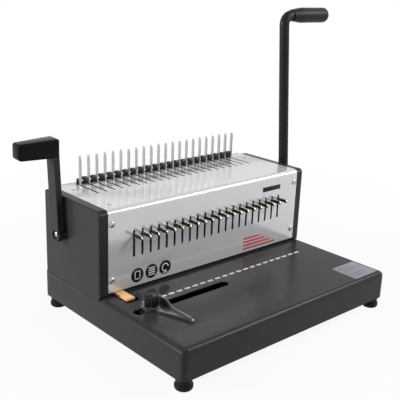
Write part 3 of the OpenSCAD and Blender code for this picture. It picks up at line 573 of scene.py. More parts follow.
@dataclass(frozen=True)
class Moulded(Finish):
    """Moulded plastic or rubber: a fine spark-eroded skin, gloss that varies with handling."""

    play: Pair = (0.06, 0.08)
    patches: float = 22.0
    relief_depth: float = 0.03 * MM
    specular: float = 0.5
    grain: float = 1800.0
    paler: float = 1.4
    dust: float = 0.002
    dust_share: float = 0.5

    def build(self) -> Material:
        """Build the material.

        Returns:
            The material.
        """
        pad, handled = self.start()
        skin = pad.effect(Effect.GRAIN, scale=self.grain)
        dusty = [c * self.paler + self.dust for c in self.colour]
        pad.shine(base_color=pad.tint(self.colour, dusty, handled, self.dust_share),
                  specular_ior_level=self.specular)
        return self.end(pad, skin["Height"])


@dataclass(frozen=True)
class Ink(Finish):
    """Screen-printed ink or a printed film: slightly uneven in tone and gloss."""

    play: Pair = (0.05, 0.08)
    patches: float = 60.0
    relief_depth: float = 0.01 * MM
    relief_strength: float = 0.2
    edge_r: float = 0.0
    screen: float = 2600.0
    thin_tone: Pair = (0.86, 0.35)
    metallic: float = 0.0
    specular: float = 0.5

    def build(self) -> Material:
        """Build the material.

        Returns:
            The material.
        """
        pad, _ = self.start()
        screen = pad.effect(Effect.GRAIN, scale=self.screen)
        thin = self.tone(pad, self.colour, screen["Fleck"], self.thin_tone)
        pad.shine(base_color=thin, metallic=self.metallic, specular_ior_level=self.specular)
        return self.end(pad, screen["Height"])


class Finishes:
    """All finishes of the machine, built as they are asked for."""

    def __init__(self, row_x: float) -> None:
        """List the finishes.

        Args:
            row_x: Where the middle of the hole row is.
        """
        self.made: dict[str, Material] = {}
        self.kinds: dict[str, Finish] = {f.name: f for f in (
            PowderCoat("black_paint", (0.0265, 0.026, 0.0295), 0.29),
            PowderCoat("base_paint", (0.034, 0.0335, 0.0365), 0.25, specular=0.09),
            PowderCoat("lever_paint", (0.014, 0.014, 0.015), 0.34, specular=0.11, grain=1400.0),
            PowderCoat("comb_lever_paint", (0.025, 0.0245, 0.0275), 0.4, grain=1200.0),
            PowderCoat("hook_paint", (0.014, 0.014, 0.015), 0.36, specular=0.3, grain=1600.0),
            SatinSheet("guide_coat", (0.105, 0.105, 0.109), 0.24, metallic=0.4),
            # The dark cut colour is painted shade for the walls of the sheet's slots.
            SatinSheet("silver_sheet", (0.725, 0.722, 0.74), 0.15, metallic=0.28, cut=(0.02, 0.02, 0.022)),
            BareSteel("screw_zinc", (0.52, 0.52, 0.53), 0.22),
            BareSteel("pin_steel", (0.47, 0.47, 0.48), 0.28, stretch=(1500.0, 1500.0, 40.0)),
            BareSteel("frame_zinc", (0.5, 0.51, 0.52), 0.42, hand_tone=(0.7, 0.6)),
            BareSteel("tool_steel", (0.52, 0.52, 0.53), 0.3),
            BareSteel("beam_oxide", (0.06, 0.06, 0.063), 0.4),
            BareSteel("gear_steel", (0.42, 0.42, 0.43), 0.38, stretch=(60.0, 900.0, 900.0)),
            BareSteel("spring_wire", (0.36, 0.36, 0.37), 0.34),
            BareSteel("bush_bronze", (0.52, 0.36, 0.16), 0.4),
            ShearedStrip("tab_steel", (0.085, 0.075, 0.066), 0.34, middle_x=row_x),
            Moulded("grip_rubber", (0.0105, 0.0105, 0.011), 0.42, specular=0.13),
            Moulded("grip_plastic", (0.0045, 0.0045, 0.005), 0.16, specular=0.08),
            Moulded("knob_plastic", (0.004, 0.004, 0.0045), 0.2, specular=0.25),
            Moulded("drawer_plastic", (0.026, 0.026, 0.028), 0.45, specular=0.2),
            Moulded("foot_rubber", (0.008, 0.008, 0.008), 0.5, specular=0.12),
            Moulded("tab_yellow", (0.93, 0.53, 0.22), 0.34, grain=1200.0),
            Ink("badge_black", (0.006, 0.006, 0.0065), 0.34, specular=0.25),
            Ink("print_white", (0.95, 0.95, 0.95), 0.5),
            Ink("print_red", (0.66, 0.085, 0.085), 0.45),
            Ink("foil_grey", (0.3, 0.29, 0.33), 0.42, metallic=0.3),
            Ink("foil_dark", (0.2, 0.19, 0.22), 0.45, metallic=0.2),
        )}

    def get(self, name: str) -> Material:
        """Give a finish's material, building it the first time.

        Args:
            name: The finish's name.

        Returns:
            Its material.
        """
        if name not in self.made:
            self.made[name] = self.kinds[name].build()
        return self.made[name]

    def dress(self, table: dict[str, Sequence[str]]) -> None:
        """Give nodes of the frame their finishes.

        Args:
            table: The nodes' names, by the name of the finish.
        """
        for name, nodes in table.items():
            for node in nodes:
                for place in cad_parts[node].material_slots:
                    place.material = self.get(name)
            LOG.info("%s on %d nodes of the frame", name, len(nodes))


@dataclass(frozen=True)
class Riding:
    """Where a new piece belongs: the body that it moves with, and a material slot that nothing here reads.
    """

    body: str
    slot: str


ON_FRAME_PAINT = Riding("frame", "black_paint")
ON_FRAME_SHEET = Riding("frame", "silver_sheet")


class Shapes:
    """Small solids made with mesh operators, facing up with their foot at zero height."""

    CORNER_STEPS = 6
    RIM_STEPS = 2
    DISC_SIDES = 64
    ARC_STEPS = 48
    DOME_STEPS = 8
    SKIRT_SHARE = 0.3
    CROSS_FOOT = 0.55
    PLATE_EDGE_R = 0.1 * MM

    @staticmethod
    def move(shape: Mesh, way: Sequence[float], among: Optional[Sequence] = None) -> None:
        """Move a mesh, or only the points among some of its elements."""
        points = [e for e in among or shape.verts if isinstance(e, bmesh.types.BMVert)]
        bmesh.ops.translate(shape, vec=way, verts=points)

    @staticmethod
    def scale(shape: Mesh, shares: Sequence[float], points: Optional[list] = None) -> None:
        """Scale a mesh, or some of its points, about the origin."""
        bmesh.ops.scale(shape, vec=shares, verts=points or shape.verts[:])

    @staticmethod
    def rounded(shape: Mesh, geom: Sequence, radius: float, segments: int, affect: str = "EDGES") -> None:
        """Round edges or corners of a mesh with so many segments."""
        bmesh.ops.bevel(shape, geom=geom, offset=radius, affect=affect, segments=segments, profile=0.5,
                        material=-1)

    @staticmethod
    def sweep(shape: Mesh, angle: float, steps: int, rise: float = 0.0) -> None:
        """Spin a whole outline round the upright axis, with a rise at each step."""
        bmesh.ops.spin(shape, geom=shape.faces[:] + shape.edges[:] + shape.verts[:], cent=(0, 0, 0),
                       axis=(0, 0, 1), dvec=(0, 0, rise), angle=angle, steps=steps,
                       use_merge=angle == FULL_TURN, use_duplicate=False)

    @staticmethod
    def outward(shape: Mesh) -> None:
        """Turn all faces outwards."""
        bmesh.ops.recalc_face_normals(shape, faces=shape.faces[:])

    @staticmethod
    def draw_up(shape: Mesh, height: float) -> None:
        """Draw a mesh that has only flat faces up to a solid of that height."""
        raised = bmesh.ops.extrude_face_region(shape, geom=shape.faces[:])["geom"]
        Shapes.move(shape, (0, 0, height), raised)

    @staticmethod
    def lift(shape: Mesh, height: float, edge_r: float) -> None:
        """Draw a flat outline up to a plate and round its upper edge.

        Args:
            shape: A mesh with only flat faces at zero height.
            height: The plate's thickness.
            edge_r: Radius of its upper edge.
        """
        Shapes.draw_up(shape, height)
        Shapes.outward(shape)
        rim = [e for e in shape.edges if all(v.co.z > height / 2 for v in e.verts)
               and any(abs(f.normal.z) < 0.5 for f in e.link_faces)]
        Shapes.rounded(shape, rim, edge_r, Shapes.RIM_STEPS)

    @staticmethod
    def rectangle(width: float, depth: float) -> Mesh:
        """Make a flat rectangle round the origin.

        Args:
            width: Its size along x.
            depth: Its size along y.

        Returns:
            The mesh.
        """
        shape = bmesh.new()
        bmesh.ops.create_grid(shape, x_segments=1, y_segments=1, size=0.5)
        Shapes.scale(shape, (width, depth, 1))
        return shape

    @staticmethod
    def plate(width: float, depth: float, corner_r: float, height: float) -> Mesh:
        """Make a flat plate with round corners.

        Args:
            width: Its size along x.
            depth: Its size along y.
            corner_r: Radius of its corners.
            height: Its thickness.

        Returns:
            The mesh.
        """
        shape = Shapes.rectangle(width, depth)
        Shapes.rounded(shape, shape.verts[:], corner_r, Shapes.CORNER_STEPS, "VERTICES")
        Shapes.lift(shape, height, min(height / 3, Shapes.PLATE_EDGE_R))
        return shape

    @staticmethod
    def disc(radius: float, height: float) -> Mesh:
        """Make a flat round plate.

        Args:
            radius: Its radius.
            height: Its thickness.

        Returns:
            The mesh.
        """
        shape = bmesh.new()
        bmesh.ops.create_circle(shape, cap_ends=True, radius=radius, segments=Shapes.DISC_SIDES)
        Shapes.lift(shape, height, height / 3)
        return shape

    @staticmethod
    def arc(radius: float, width: float, height: float, angle: float) -> Mesh:
        """Make part of a flat ring.

        Args:
            radius: Its outer radius.
            width: The width of its band.
            height: Its thickness.
            angle: How far round it goes.

        Returns:
            The mesh.
        """
        shape = Shapes.rectangle(width, height)
        bmesh.ops.rotate(shape, matrix=Facing.FRONT.value, verts=shape.verts[:])
        Shapes.move(shape, (radius - width / 2, 0, height / 2))
        Shapes.sweep(shape, angle, Shapes.ARC_STEPS)
        bmesh.ops.remove_doubles(shape, verts=shape.verts[:], dist=1e-7)
        Shapes.outward(shape)
        return shape

    @staticmethod
    def quarter(middle: Pair, reach: Pair, start: float, steps: int) -> list[Pair]:
        """Give the corners of a quarter round of a turned outline, as radius and height."""
        angles = (start + QUARTER_TURN * i / steps for i in range(steps + 1))
        return [(middle[0] + reach[0] * math.cos(a), middle[1] + reach[1] * math.sin(a)) for a in angles]

    @staticmethod
    def turned(corners: list[Pair], steps: int = 40) -> Mesh:
        """Turn an outline round the upright axis.

        Args:
            corners: The outline as radius and height, from axis to axis.
            steps: The number of sides round the axis.

        Returns:
            The mesh.
        """
        shape = bmesh.new()
        line = [shape.verts.new((x, 0, z)) for x, z in corners]
        for first, second in zip(line, line[1:]):
            shape.edges.new((first, second))
        Shapes.sweep(shape, FULL_TURN, steps)
        bmesh.ops.remove_doubles(shape, verts=shape.verts[:], dist=1e-6)
        Shapes.outward(shape)
        return shape

    @staticmethod
    def dome(radius: float, height: float) -> Mesh:
        """Make a domed screw head with a short straight skirt.

        Args:
            radius: The head's radius.
            height: The head's height.

        Returns:
            The mesh.
        """
        skirt = height * Shapes.SKIRT_SHARE
        crown = Shapes.quarter((0.0, skirt), (radius, height - skirt), 0.0, Shapes.DOME_STEPS)
        return Shapes.turned([(0.0, 0.0), (radius, 0.0)] + crown)

    @staticmethod
    def cross(span: float, width: float, depth: float) -> Mesh:
        """Make the cutter of a cross recess, narrower at its foot.

        Args:
            span: Length of each arm from end to end.
            width: Width of an arm.
            depth: Depth of the recess.

        Returns:
            The mesh, with its foot at zero height.
        """
        shape = bmesh.new()
        for size in ((span, width), (width, span)):
            made = bmesh.ops.create_cube(shape, size=1.0)["verts"]
            Shapes.scale(shape, (*size, 2 * depth), made)
            Shapes.move(shape, (0, 0, depth), made)
            low = [v for v in made if v.co.z < depth]
            Shapes.scale(shape, (Shapes.CROSS_FOOT, Shapes.CROSS_FOOT, 1), low)
        return shape


class Bench:
    """Turns meshes into pieces of the machine."""

    def __init__(self, finishes: Finishes) -> None:
        """Keep the finishes that pieces are dressed with."""
        self.finishes = finishes

    @staticmethod
    def stand(shape: Mesh, place: Vector, facing: Facing = Facing.UP) -> Mesh:
        """Turn a mesh and move it to its place.

        Args:
            shape: The mesh, facing up at the origin.
            place: Where its foot's middle goes.
            facing: The way it faces.

        Returns:
            The same mesh.
        """
        bmesh.ops.transform(shape, matrix=facing.value.to_4x4(), verts=shape.verts[:])
        Shapes.move(shape, place)
        return shape

    @staticmethod
    def gather(shapes: Sequence[Mesh]) -> Mesh:
        """Join meshes into one.

        Args:
            shapes: The meshes, which are used up.

        Returns:
            The joined mesh.
        """
        whole = bmesh.new()
        for shape in shapes:
            part = mesh_of("part", shape)
            whole.from_mesh(part)
            bpy.data.meshes.remove(part)
        return whole

    @staticmethod
    def clean(shape: Mesh, sliver: float = 5e-6) -> None:
        """Merge the slivers that cuts leave."""
        bmesh.ops.remove_doubles(shape, verts=shape.verts[:], dist=sliver)
        bmesh.ops.dissolve_degenerate(shape, dist=sliver, edges=shape.edges[:])

    @staticmethod
    def carve(shape: Mesh, cutter: Mesh) -> Mesh:
        """Cut one mesh out of another.

        Args:
            shape: The mesh that is cut, which is used up.
            cutter: The mesh that is taken away, which is used up.

        Returns:
            The result.
        """
        work = placed("work", mesh_of("work", shape))
        tool = placed("cutter", mesh_of("cutter", cutter))
        cut = work.modifiers.new("cut", "BOOLEAN")
        cut.object = tool
        cut.operation = "DIFFERENCE"
        cut.solver = "EXACT"
        cut.use_self = True
        result = bmesh.new()
        result.from_object(work, bpy.context.evaluated_depsgraph_get())
        for made in (work, tool):
            mesh = made.data
            bpy.data.objects.remove(made)
            bpy.data.meshes.remove(mesh)
        Bench.clean(result)
        return result

    def piece(self, name: str, shapes: Sequence[Mesh], finish: str, riding: Riding,
              crease: float = 35.0) -> bpy.types.Object:
        """Make meshes a piece of the machine.

        Args:
            name: The piece's name.
            shapes: Its meshes, in place, which are used up.
            finish: The name of its finish.
            riding: The body that it belongs to; the slot that it also holds is not used.
            crease: Edges that turn by more than this many degrees stay sharp.

        Returns:
            The piece.
        """
        whole = self.gather(shapes)
        for face in whole.faces:
            face.smooth = True
        for edge in whole.edges:
            edge.smooth = edge.calc_face_angle(math.pi) < math.radians(crease)
        mesh = mesh_of(name, whole)
        mesh.materials.append(self.finishes.get(finish))
        made = placed(name, mesh)
        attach(made, riding.body)
        LOG.info("%s: %d faces, rides on %s", name, len(mesh.polygons), riding.body)
        return made


@dataclass(frozen=True)
class Marks:
    """What places are measured from: middle of the hole row, face of the panel, top of the table."""

    row_x: float
    panel_y: float
    table_z: float

    def at(self, right: float, back: float, up: float = 0.0) -> Vector:
        """Give a place so far to the right, to the back and up."""
        return Vector((self.row_x + right, self.panel_y + back, self.table_z + up))


@dataclass
class SubAssembly:
    """What every sub-assembly has: the bench that it is made on and the marks that place it."""

    bench: Bench
    marks: Marks

    def build(self) -> None:
        """Dress the sub-assembly and make its pieces."""
        raise NotImplementedError


@dataclass
class Housing(SubAssembly):
    """Base, covers, feet and drawer, and what shows on the paper table."""

    dash_count: int = 22
    dash_first: float = -152.5 * MM
    dash_ahead: float = 42.0 * MM
    dash_size: Pair = (9.8 * MM, 4.0 * MM)
    sticker_size: Pair = (52.0 * MM, 46.0 * MM)
    sticker_corner_r: float = 2.0 * MM
    sticker_x: float = 164.0 * MM
    sticker_ahead: float = 144.0 * MM
    sticker_bars: tuple[Triple, ...] = (
        (-6.0 * MM, 15.0 * MM, 30.0 * MM), (2.0 * MM, 7.0 * MM, 40.0 * MM),
        (-4.0 * MM, -8.0 * MM, 34.0 * MM), (-9.0 * MM, -14.0 * MM, 24.0 * MM))
    bar_w: float = 2.4 * MM
    print_t: float = 0.12 * MM
    print_corner: float = 0.3
    edge_r: float = 3.5 * MM
    side_r: float = 9.0 * MM
    soft_r: Triple = (9.0 * MM, 6.5 * MM, 9.0 * MM)
    soft_cuts: int = 8
    soft_margin: float = 1.0 * MM
    foot_r: float = 11.9 * MM
    foot_neck_r: float = 10.5 * MM
    foot_pad_h: float = 7.8 * MM
    foot_rounds: Pair = (4.0 * MM, 1.4 * MM)
    foot_well: Pair = (4.0 * MM, 7.0 * MM)
    foot_sides: int = 56
    foot_steps: tuple[int, int] = (8, 5)

    def sunk(self, reach: Sequence[float]) -> float:
        """Tell how deep a point lies in the tray's solid.

        Args:
            reach: Its distances from side, front and top.

        Returns:
            Its depth under the solid's rounded surface.
        """
        depths = []
        for first, second, radius in ((0, 1, self.edge_r), (0, 2, self.side_r), (1, 2, self.edge_r)):
            beyond = math.hypot(max(0.0, radius - reach[first]), max(0.0, radius - reach[second]))
            depths.append(radius - beyond if beyond else min(reach[first], reach[second]))
        return min(depths)

    def softened(self, point: Vector, low: Vector, high: Vector) -> Vector:
        """Draw a point of the tray's front in to a softer edge or corner.

        Args:
            point: The point.
            low: The tray's lower corner.
            high: The tray's upper corner.

        Returns:
            Its new place, which is the old one on flat walls and behind the front edge.
        """
        right = point.x > (low.x + high.x) / 2
        reach = (high.x - point.x if right else point.x - low.x, point.y - low.y, high.z - point.z)
        past = [max(0.0, r - d) for r, d in zip(self.soft_r, reach)]
        if not past[1] or not (past[0] or past[2]):
            return point
        depth = self.sunk(reach)
        ways = Vector([p / r for p, r in zip(past, self.soft_r)]).normalized()
        move = [w * (r - depth) - p for w, r, p in zip(ways, self.soft_r, past)]
        return point + Vector((move[0] if right else -move[0], -move[1], move[2]))

    def cut_front(self, tray: Mesh, low: Vector, high: Vector) -> None:
        """Cut the tray's front finely where its soft edges start and run.

        Args:
            tray: The tray.
            low: Its lower corner.
            high: Its upper corner.
        """
        shares = [1 - math.sqrt(1 - (i / self.soft_cuts) ** 2) for i in range(1, self.soft_cuts + 1)]
        front = low.y + self.soft_r[1] + self.soft_margin
        for step in range(-1, self.soft_cuts):
            margin = self.soft_margin if step < 0 else 0.0
            side, ahead, down = (r * shares[step] + margin for r in self.soft_r)
            for place, way in (((low.x + side, 0, 0), (1, 0, 0)), ((high.x - side, 0, 0), (1, 0, 0)),
                               ((0, low.y + ahead, 0), (0, 1, 0)), ((0, 0, high.z - down), (0, 0, 1))):
                near = [f for f in tray.faces if step < 0 or f.calc_center_median().y < front]
                edges = list({e for f in near for e in f.edges})
                verts = list({v for f in near for v in f.verts})
                bmesh.ops.bisect_plane(tray, geom=verts + edges + near, dist=1e-7, plane_co=place,
                                       plane_no=way)

    def build_base(self) -> None:
        """Make the tray again with softer edges and corners at its front."""
        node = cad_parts["base_shell"]
        low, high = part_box("base_shell")
        tray = bmesh.new()
        tray.from_mesh(node.data)
        bmesh.ops.transform(tray, matrix=node.matrix_world, verts=tray.verts[:])
        bmesh.ops.remove_doubles(tray, verts=tray.verts[:], dist=1e-6)
        self.cut_front(tray, low, high)
        for vert in tray.verts:
            vert.co = self.softened(vert.co.copy(), low, high)
        Bench.clean(tray)
        made = self.bench.piece("soft_base", [tray], "base_paint", ON_FRAME_PAINT)
        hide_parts("base_shell")

    def build_feet(self) -> None:
        """Turn the four feet, each a wide pad under a narrower neck, with a well for its screw."""
        low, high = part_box("rubber_feet")
        foot_h = high.z - low.z
        well_r, well_h = self.foot_well
        under_r, over_r = self.foot_rounds
        outline = [(0.0, well_h), (well_r, well_h), (well_r, 0.0)]
        outline += Shapes.quarter((self.foot_r - under_r, under_r), (under_r, under_r), -QUARTER_TURN,
                                  self.foot_steps[0])
        outline += Shapes.quarter((self.foot_r - over_r, self.foot_pad_h - over_r), (over_r, over_r), 0.0,
                                  self.foot_steps[1])
        neck_r = self.foot_neck_r
        outline += [(neck_r, self.foot_pad_h + over_r), (neck_r, foot_h), (0.0, foot_h)]
        feet = [Bench.stand(Shapes.turned(outline, self.foot_sides), Vector((x, y, low.z)))
                for x in (low.x + self.foot_r, high.x - self.foot_r)
                for y in (low.y + self.foot_r, high.y - self.foot_r)]
        made = self.bench.piece("ringed_feet", feet, "foot_rubber", Riding("frame", "foot_rubber"))
        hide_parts("rubber_feet")

    def build_dashes(self) -> None:
        """Print the dashed paper line on the table."""
        corner_r = self.dash_size[1] * self.print_corner
        dashes = [Bench.stand(Shapes.plate(*self.dash_size, corner_r, self.print_t),
                              self.marks.at(self.dash_first + count * HOLE_PITCH, -self.dash_ahead))
                  for count in range(self.dash_count)]
        self.bench.piece("paper_line", dashes, "print_white", ON_FRAME_PAINT)

    def build_sticker(self) -> None:
        """Lay a foil sticker with four plain bars at the table's right front corner."""
        place = self.marks.at(self.sticker_x, -self.sticker_ahead)
        sticker = Bench.stand(Shapes.plate(*self.sticker_size, self.sticker_corner_r, self.print_t), place)
        self.bench.piece("plain_sticker", [sticker], "foil_grey", ON_FRAME_PAINT)
        corner_r = self.bar_w * self.print_corner
        bars = [Bench.stand(Shapes.plate(length, self.bar_w, corner_r, self.print_t),
                            place + Vector((x, y, self.print_t))) for x, y, length in self.sticker_bars]
        self.bench.piece("sticker_bars", bars, "foil_dark", ON_FRAME_PAINT)

    def build(self) -> None:
        """Dress the housing, soften its base, set its feet and add its print."""
        self.bench.finishes.dress({
            "base_paint": ["bottom_plate"],
            "black_paint": ["left_cover", "right_cover", "rear_cover"],
            "drawer_plastic": ["chip_drawer"],
        })
        self.build_base()
        self.build_feet()
        self.build_dashes()
        self.build_sticker()


@dataclass
class FrontPanel(SubAssembly):
    """The bent silver sheet with its badges, bare plate and stripes."""

    badge_r: float = 10.4 * MM
    badge_t: float = 0.3 * MM
    badge_x: tuple[float, ...] = (-136.7 * MM, -112.0 * MM, -87.8 * MM)
    badge_up: float = 19.5 * MM
    mark_t: float = 0.1 * MM
    mark_corner: float = 0.2
    sheet_shares: Triple = (0.8, 1.1, 0.13)
    stack_shares: Pair = (1.1, 0.16)
    stack_count: int = 4
    ring_shares: Pair = (0.6, 0.16)
    ring_angle: float = math.radians(300)
    spine_shares: Triple = (0.74, 0.7, 0.12)
    plate_x: float = 126.0 * MM
    plate_up: float = 100.2 * MM
    plate_size: Pair = (40.0 * MM, 7.4 * MM)
    plate_corner_r: float = 0.8 * MM
    stripe_x: float = 69.0 * MM
    stripe_up: float = 10.0 * MM
    stripe_step: float = 5.6 * MM
    stripe_w: float = 3.2 * MM
    stripe_corner: float = 0.45
    stripe_lengths: tuple[float, ...] = (72.0 * MM, 60.0 * MM, 48.0 * MM, 36.0 * MM)

    def fix(self, shape: Mesh, x: float, up: float, proud: float = 0.0) -> Mesh:
        """Stand a mesh on the panel's face, or a little proud of it, and give it back."""
        return Bench.stand(shape, self.marks.at(x, -proud, up), Facing.FRONT)

    def bar(self, x: float, y: float, wide: float, high: float) -> Mesh:
        """Make a flat printed bar.

        Args:
            x: Its middle, to the right.
            y: Its middle, upwards.
            wide: Its width.
            high: Its height.

        Returns:
            The mesh.
        """
        bar = Shapes.plate(wide, high, min(wide, high) * self.mark_corner, self.mark_t)
        Shapes.move(bar, (x, y, 0))
        return bar

    def sheet_sign(self) -> list[Mesh]:
        """Draw an upright sheet of paper as a frame of four bars.

        Returns:
            The bars.
        """
        wide, high, bar = (self.badge_r * share for share in self.sheet_shares)
        sides = ((0, high / 2, wide, bar), (0, -high / 2, wide, bar),
                 (wide / 2, 0, bar, high), (-wide / 2, 0, bar, high))
        return [self.bar(x, y, w + bar * (w > d), d + bar * (d > w)) for x, y, w, d in sides]

    def stack_sign(self) -> list[Mesh]:
        """Draw a stack of sheets as bars above each other.

        Returns:
            The bars.
        """
        wide, bar = (self.badge_r * share for share in self.stack_shares)
        middle = (self.stack_count - 1) / 2
        return [self.bar(0, (i - middle) * bar * 2, wide, bar) for i in range(self.stack_count)]

    def comb_sign(self) -> list[Mesh]:
        """Draw a comb's open ring over its spine.

        Returns:
            The ring and the spine.
        """
        ring_r, band = (self.badge_r * share for share in self.ring_shares)
        down, wide, high = (self.badge_r * share for share in self.spine_shares)
        return [Shapes.arc(ring_r, band, self.mark_t, self.ring_angle), self.bar(0, -down, wide, high)]

    def build_badges(self) -> None:
        """Fix three round badges with plain signs: a sheet, a stack and a comb ring."""
        discs = [self.fix(Shapes.disc(self.badge_r, self.badge_t), x, self.badge_up) for x in self.badge_x]
        self.bench.piece("round_badges", discs, "badge_black", ON_FRAME_SHEET)
        drawn = (self.sheet_sign(), self.stack_sign(), self.comb_sign())
        signs = [self.fix(Bench.gather(parts), x, self.badge_up, self.badge_t)
                 for x, parts in zip(self.badge_x, drawn)]
        self.bench.piece("badge_signs", signs, "print_white", ON_FRAME_SHEET)

    def build_plate(self) -> None:
        """Fix the bare black plate at the panel's upper right."""
        plate = Shapes.plate(*self.plate_size, self.plate_corner_r, self.badge_t)
        plates = [self.fix(plate, self.plate_x, self.plate_up)]
        self.bench.piece("bare_plate", plates, "badge_black", ON_FRAME_SHEET)

    def build_stripes(self) -> None:
        """Print plain red stripes at the panel's lower right."""
        corner_r = self.stripe_w * self.stripe_corner
        stripes = [self.fix(Shapes.plate(length, self.stripe_w, corner_r, self.mark_t),
                            self.stripe_x + length / 2, self.stripe_up + count * self.stripe_step)
                   for count, length in enumerate(self.stripe_lengths)]
        self.bench.piece("red_stripes", stripes, "print_red", ON_FRAME_SHEET)

    def build(self) -> None:
        """Dress the sheet and add its trim."""
        self.bench.finishes.dress({"silver_sheet": ["front_top_cover"]})
        self.build_badges()
        self.build_plate()
        self.build_stripes()


@dataclass
class Screws(SubAssembly):
    """Domed screws with a cross recess in place of the plain ones."""

    head_size: Pair = (4.2 * MM, 2.3 * MM)
    top_share: Pair = (0.85, 0.42)
    hub_head: Pair = (11.0 * MM, 4.0 * MM)
    recess_share: Pair = (1.15, 0.26)
    recess_foot: float = 0.45
    panel_x: float = 178.975 * MM
    panel_ups: Pair = (22.4 * MM, 101.7 * MM)
    top_x: float = 169.975 * MM
    top_backs: Pair = (21.0 * MM, 106.0 * MM)

    def head(self, radius: float, height: float) -> Mesh:
        """Make a domed head with a cross recess.

        Args:
            radius: The head's radius.
            height: Its height.

        Returns:
            The mesh.
        """
        span, width = (radius * share for share in self.recess_share)
        cutter = Shapes.cross(span, width, height)
        Shapes.move(cutter, (0, 0, height * self.recess_foot))
        return Bench.carve(Shapes.dome(radius, height), cutter)

    def build_cover_screws(self) -> None:
        """Set the screws of the front and top sheet."""
        top_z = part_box("front_top_cover")[1].z
        top_head = [size * share for size, share in zip(self.head_size, self.top_share)]
        heads = []
        for side in (-1, 1):
            for up in self.panel_ups:
                place = self.marks.at(side * self.panel_x, 0, up)
                heads.append(Bench.stand(self.head(*self.head_size), place, Facing.FRONT))
            for back in self.top_backs:
                place = self.marks.at(side * self.top_x, back)
                place.z = top_z
                heads.append(Bench.stand(self.head(*top_head), place))
        made = self.bench.piece("cover_screw_heads", heads, "screw_zinc", Riding("frame", "screw_steel"))
        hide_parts("cover_screws")

    def build_pivot_screws(self) -> None:
        """Set the screws at the two levers' pivots."""
        place = middle_of("lever_hub_screw")
        place.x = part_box("lever_hub_screw")[1].x - self.hub_head[1]
        head = Bench.stand(self.head(*self.hub_head), place, Facing.RIGHT)
        made = self.bench.piece("punch_pivot_screw", [head], "screw_zinc",
                                Riding("punch_lever", "screw_steel"))
        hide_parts("lever_hub_screw")
        place = middle_of("comb_lever_screw")
        place.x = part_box("comb_lever_screw")[0].x + self.head_size[1]
        head = Bench.stand(self.head(*self.head_size), place, Facing.LEFT)
        made = self.bench.piece("comb_pivot_screw", [head], "screw_zinc",
                                Riding("comb_lever", "screw_steel"))
        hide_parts("comb_lever_screw")

    def build(self) -> None:
        """Set all screws."""
        self.build_cover_screws()
        self.build_pivot_screws()


@dataclass
class Levers(SubAssembly):
    """The tall punch lever and the short comb lever."""

    lean: float = math.radians(3.9)
    grip_up: float = 122.0 * MM
    grip_turn: float = math.radians(6)
    grip_section: Pair = (24.0 * MM, 26.4 * MM)
    grip_short: float = 2.3 * MM
    grip_taper: float = 0.852
    grip_narrowing: float = 0.22
    grip_corners: tuple[float, ...] = (4.5 * MM, 3.5 * MM, 3.2 * MM, 3.0 * MM)
    grip_edge_r: float = 2.7 * MM
    grip_edge_steps: int = 4
    slot_size: Triple = (9.6 * MM, 20.1 * MM, 128.3 * MM)
    slot_round: float = 0.48
    slot_steps: int = 8

    def grip_block(self, length: float) -> Mesh:
        """Make the comb lever's grip round the origin, lower and narrower at its outer end.

        Args:
            length: Its size along x.

        Returns:
            The mesh.
        """
        deep, high = self.grip_section
        grip = Shapes.rectangle(length, high)
        Shapes.scale(grip, (1, self.grip_taper, 1), [v for v in grip.verts if v.co.x < 0])
        round_the_outline = sorted(grip.verts, key=lambda v: math.atan2(-v.co.x, -v.co.y) % FULL_TURN)
        for corner, corner_r in zip(round_the_outline, self.grip_corners):
            Shapes.rounded(grip, [corner], corner_r, Shapes.CORNER_STEPS, "VERTICES")
        Shapes.draw_up(grip, deep)
        Shapes.move(grip, (0, 0, -deep / 2))
        Shapes.outward(grip)
        rims = [e for e in grip.edges if abs(e.verts[0].co.z - e.verts[1].co.z) < deep / 2]
        Shapes.rounded(grip, rims, self.grip_edge_r, self.grip_edge_steps)
        for point in grip.verts:
            share = 1 - self.grip_narrowing * (0.5 - point.co.x / length) ** 2
            Shapes.scale(grip, (1, 1, share), [point])
        turn = Matrix.Rotation(self.grip_turn, 3, "X") @ Facing.FRONT.value
        bmesh.ops.rotate(grip, matrix=turn, verts=grip.verts[:])
        return grip

    def arm_slot(self) -> Mesh:
        """Make the cutter of the slot that takes the arm, with a round top, standing at the origin.

        Returns:
            The mesh.
        """
        deep, wide, top = self.slot_size
        slot = bmesh.new()
        bmesh.ops.create_cube(slot, size=1.0)
        Shapes.scale(slot, (2 * deep, wide, top))
        Shapes.move(slot, (0, 0, top / 2))
        upper = [e for e in slot.edges if all(v.co.z > top / 2 for v in e.verts)
                 and abs(e.verts[0].co.x - e.verts[1].co.x) > deep]
        Shapes.rounded(slot, upper, wide * self.slot_round, self.slot_steps)
        return slot

    def build_comb_grip(self) -> None:
        """Mould the comb lever's grip over the end of its arm."""
        low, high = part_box("comb_lever_grip")
        pivot = middle_of("comb_lever_screw")
        block, slot = self.grip_block(high.x - low.x - self.grip_short), self.arm_slot()
        Shapes.move(block, ((low.x + self.grip_short + high.x) / 2, 0, self.grip_up))
        Shapes.move(slot, (high.x, 0, 0))
        grip = Bench.carve(block, slot)
        lean = Matrix.Translation((0, pivot.y, pivot.z)) @ Matrix.Rotation(-self.lean, 4, "X")
        bmesh.ops.transform(grip, matrix=lean, verts=grip.verts[:])
        made = self.bench.piece("comb_grip", [grip], "grip_plastic", Riding("comb_lever", "grip_plastic"))
        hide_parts("comb_lever_grip")

    def build(self) -> None:
        """Dress the levers and mould the comb lever's grip."""
        self.bench.finishes.dress({
            "lever_paint": ["lever_tube", "lever_hub"],
            "grip_rubber": ["lever_grip"],
            "comb_lever_paint": ["comb_lever_arm"],
        })
        self.build_comb_grip()


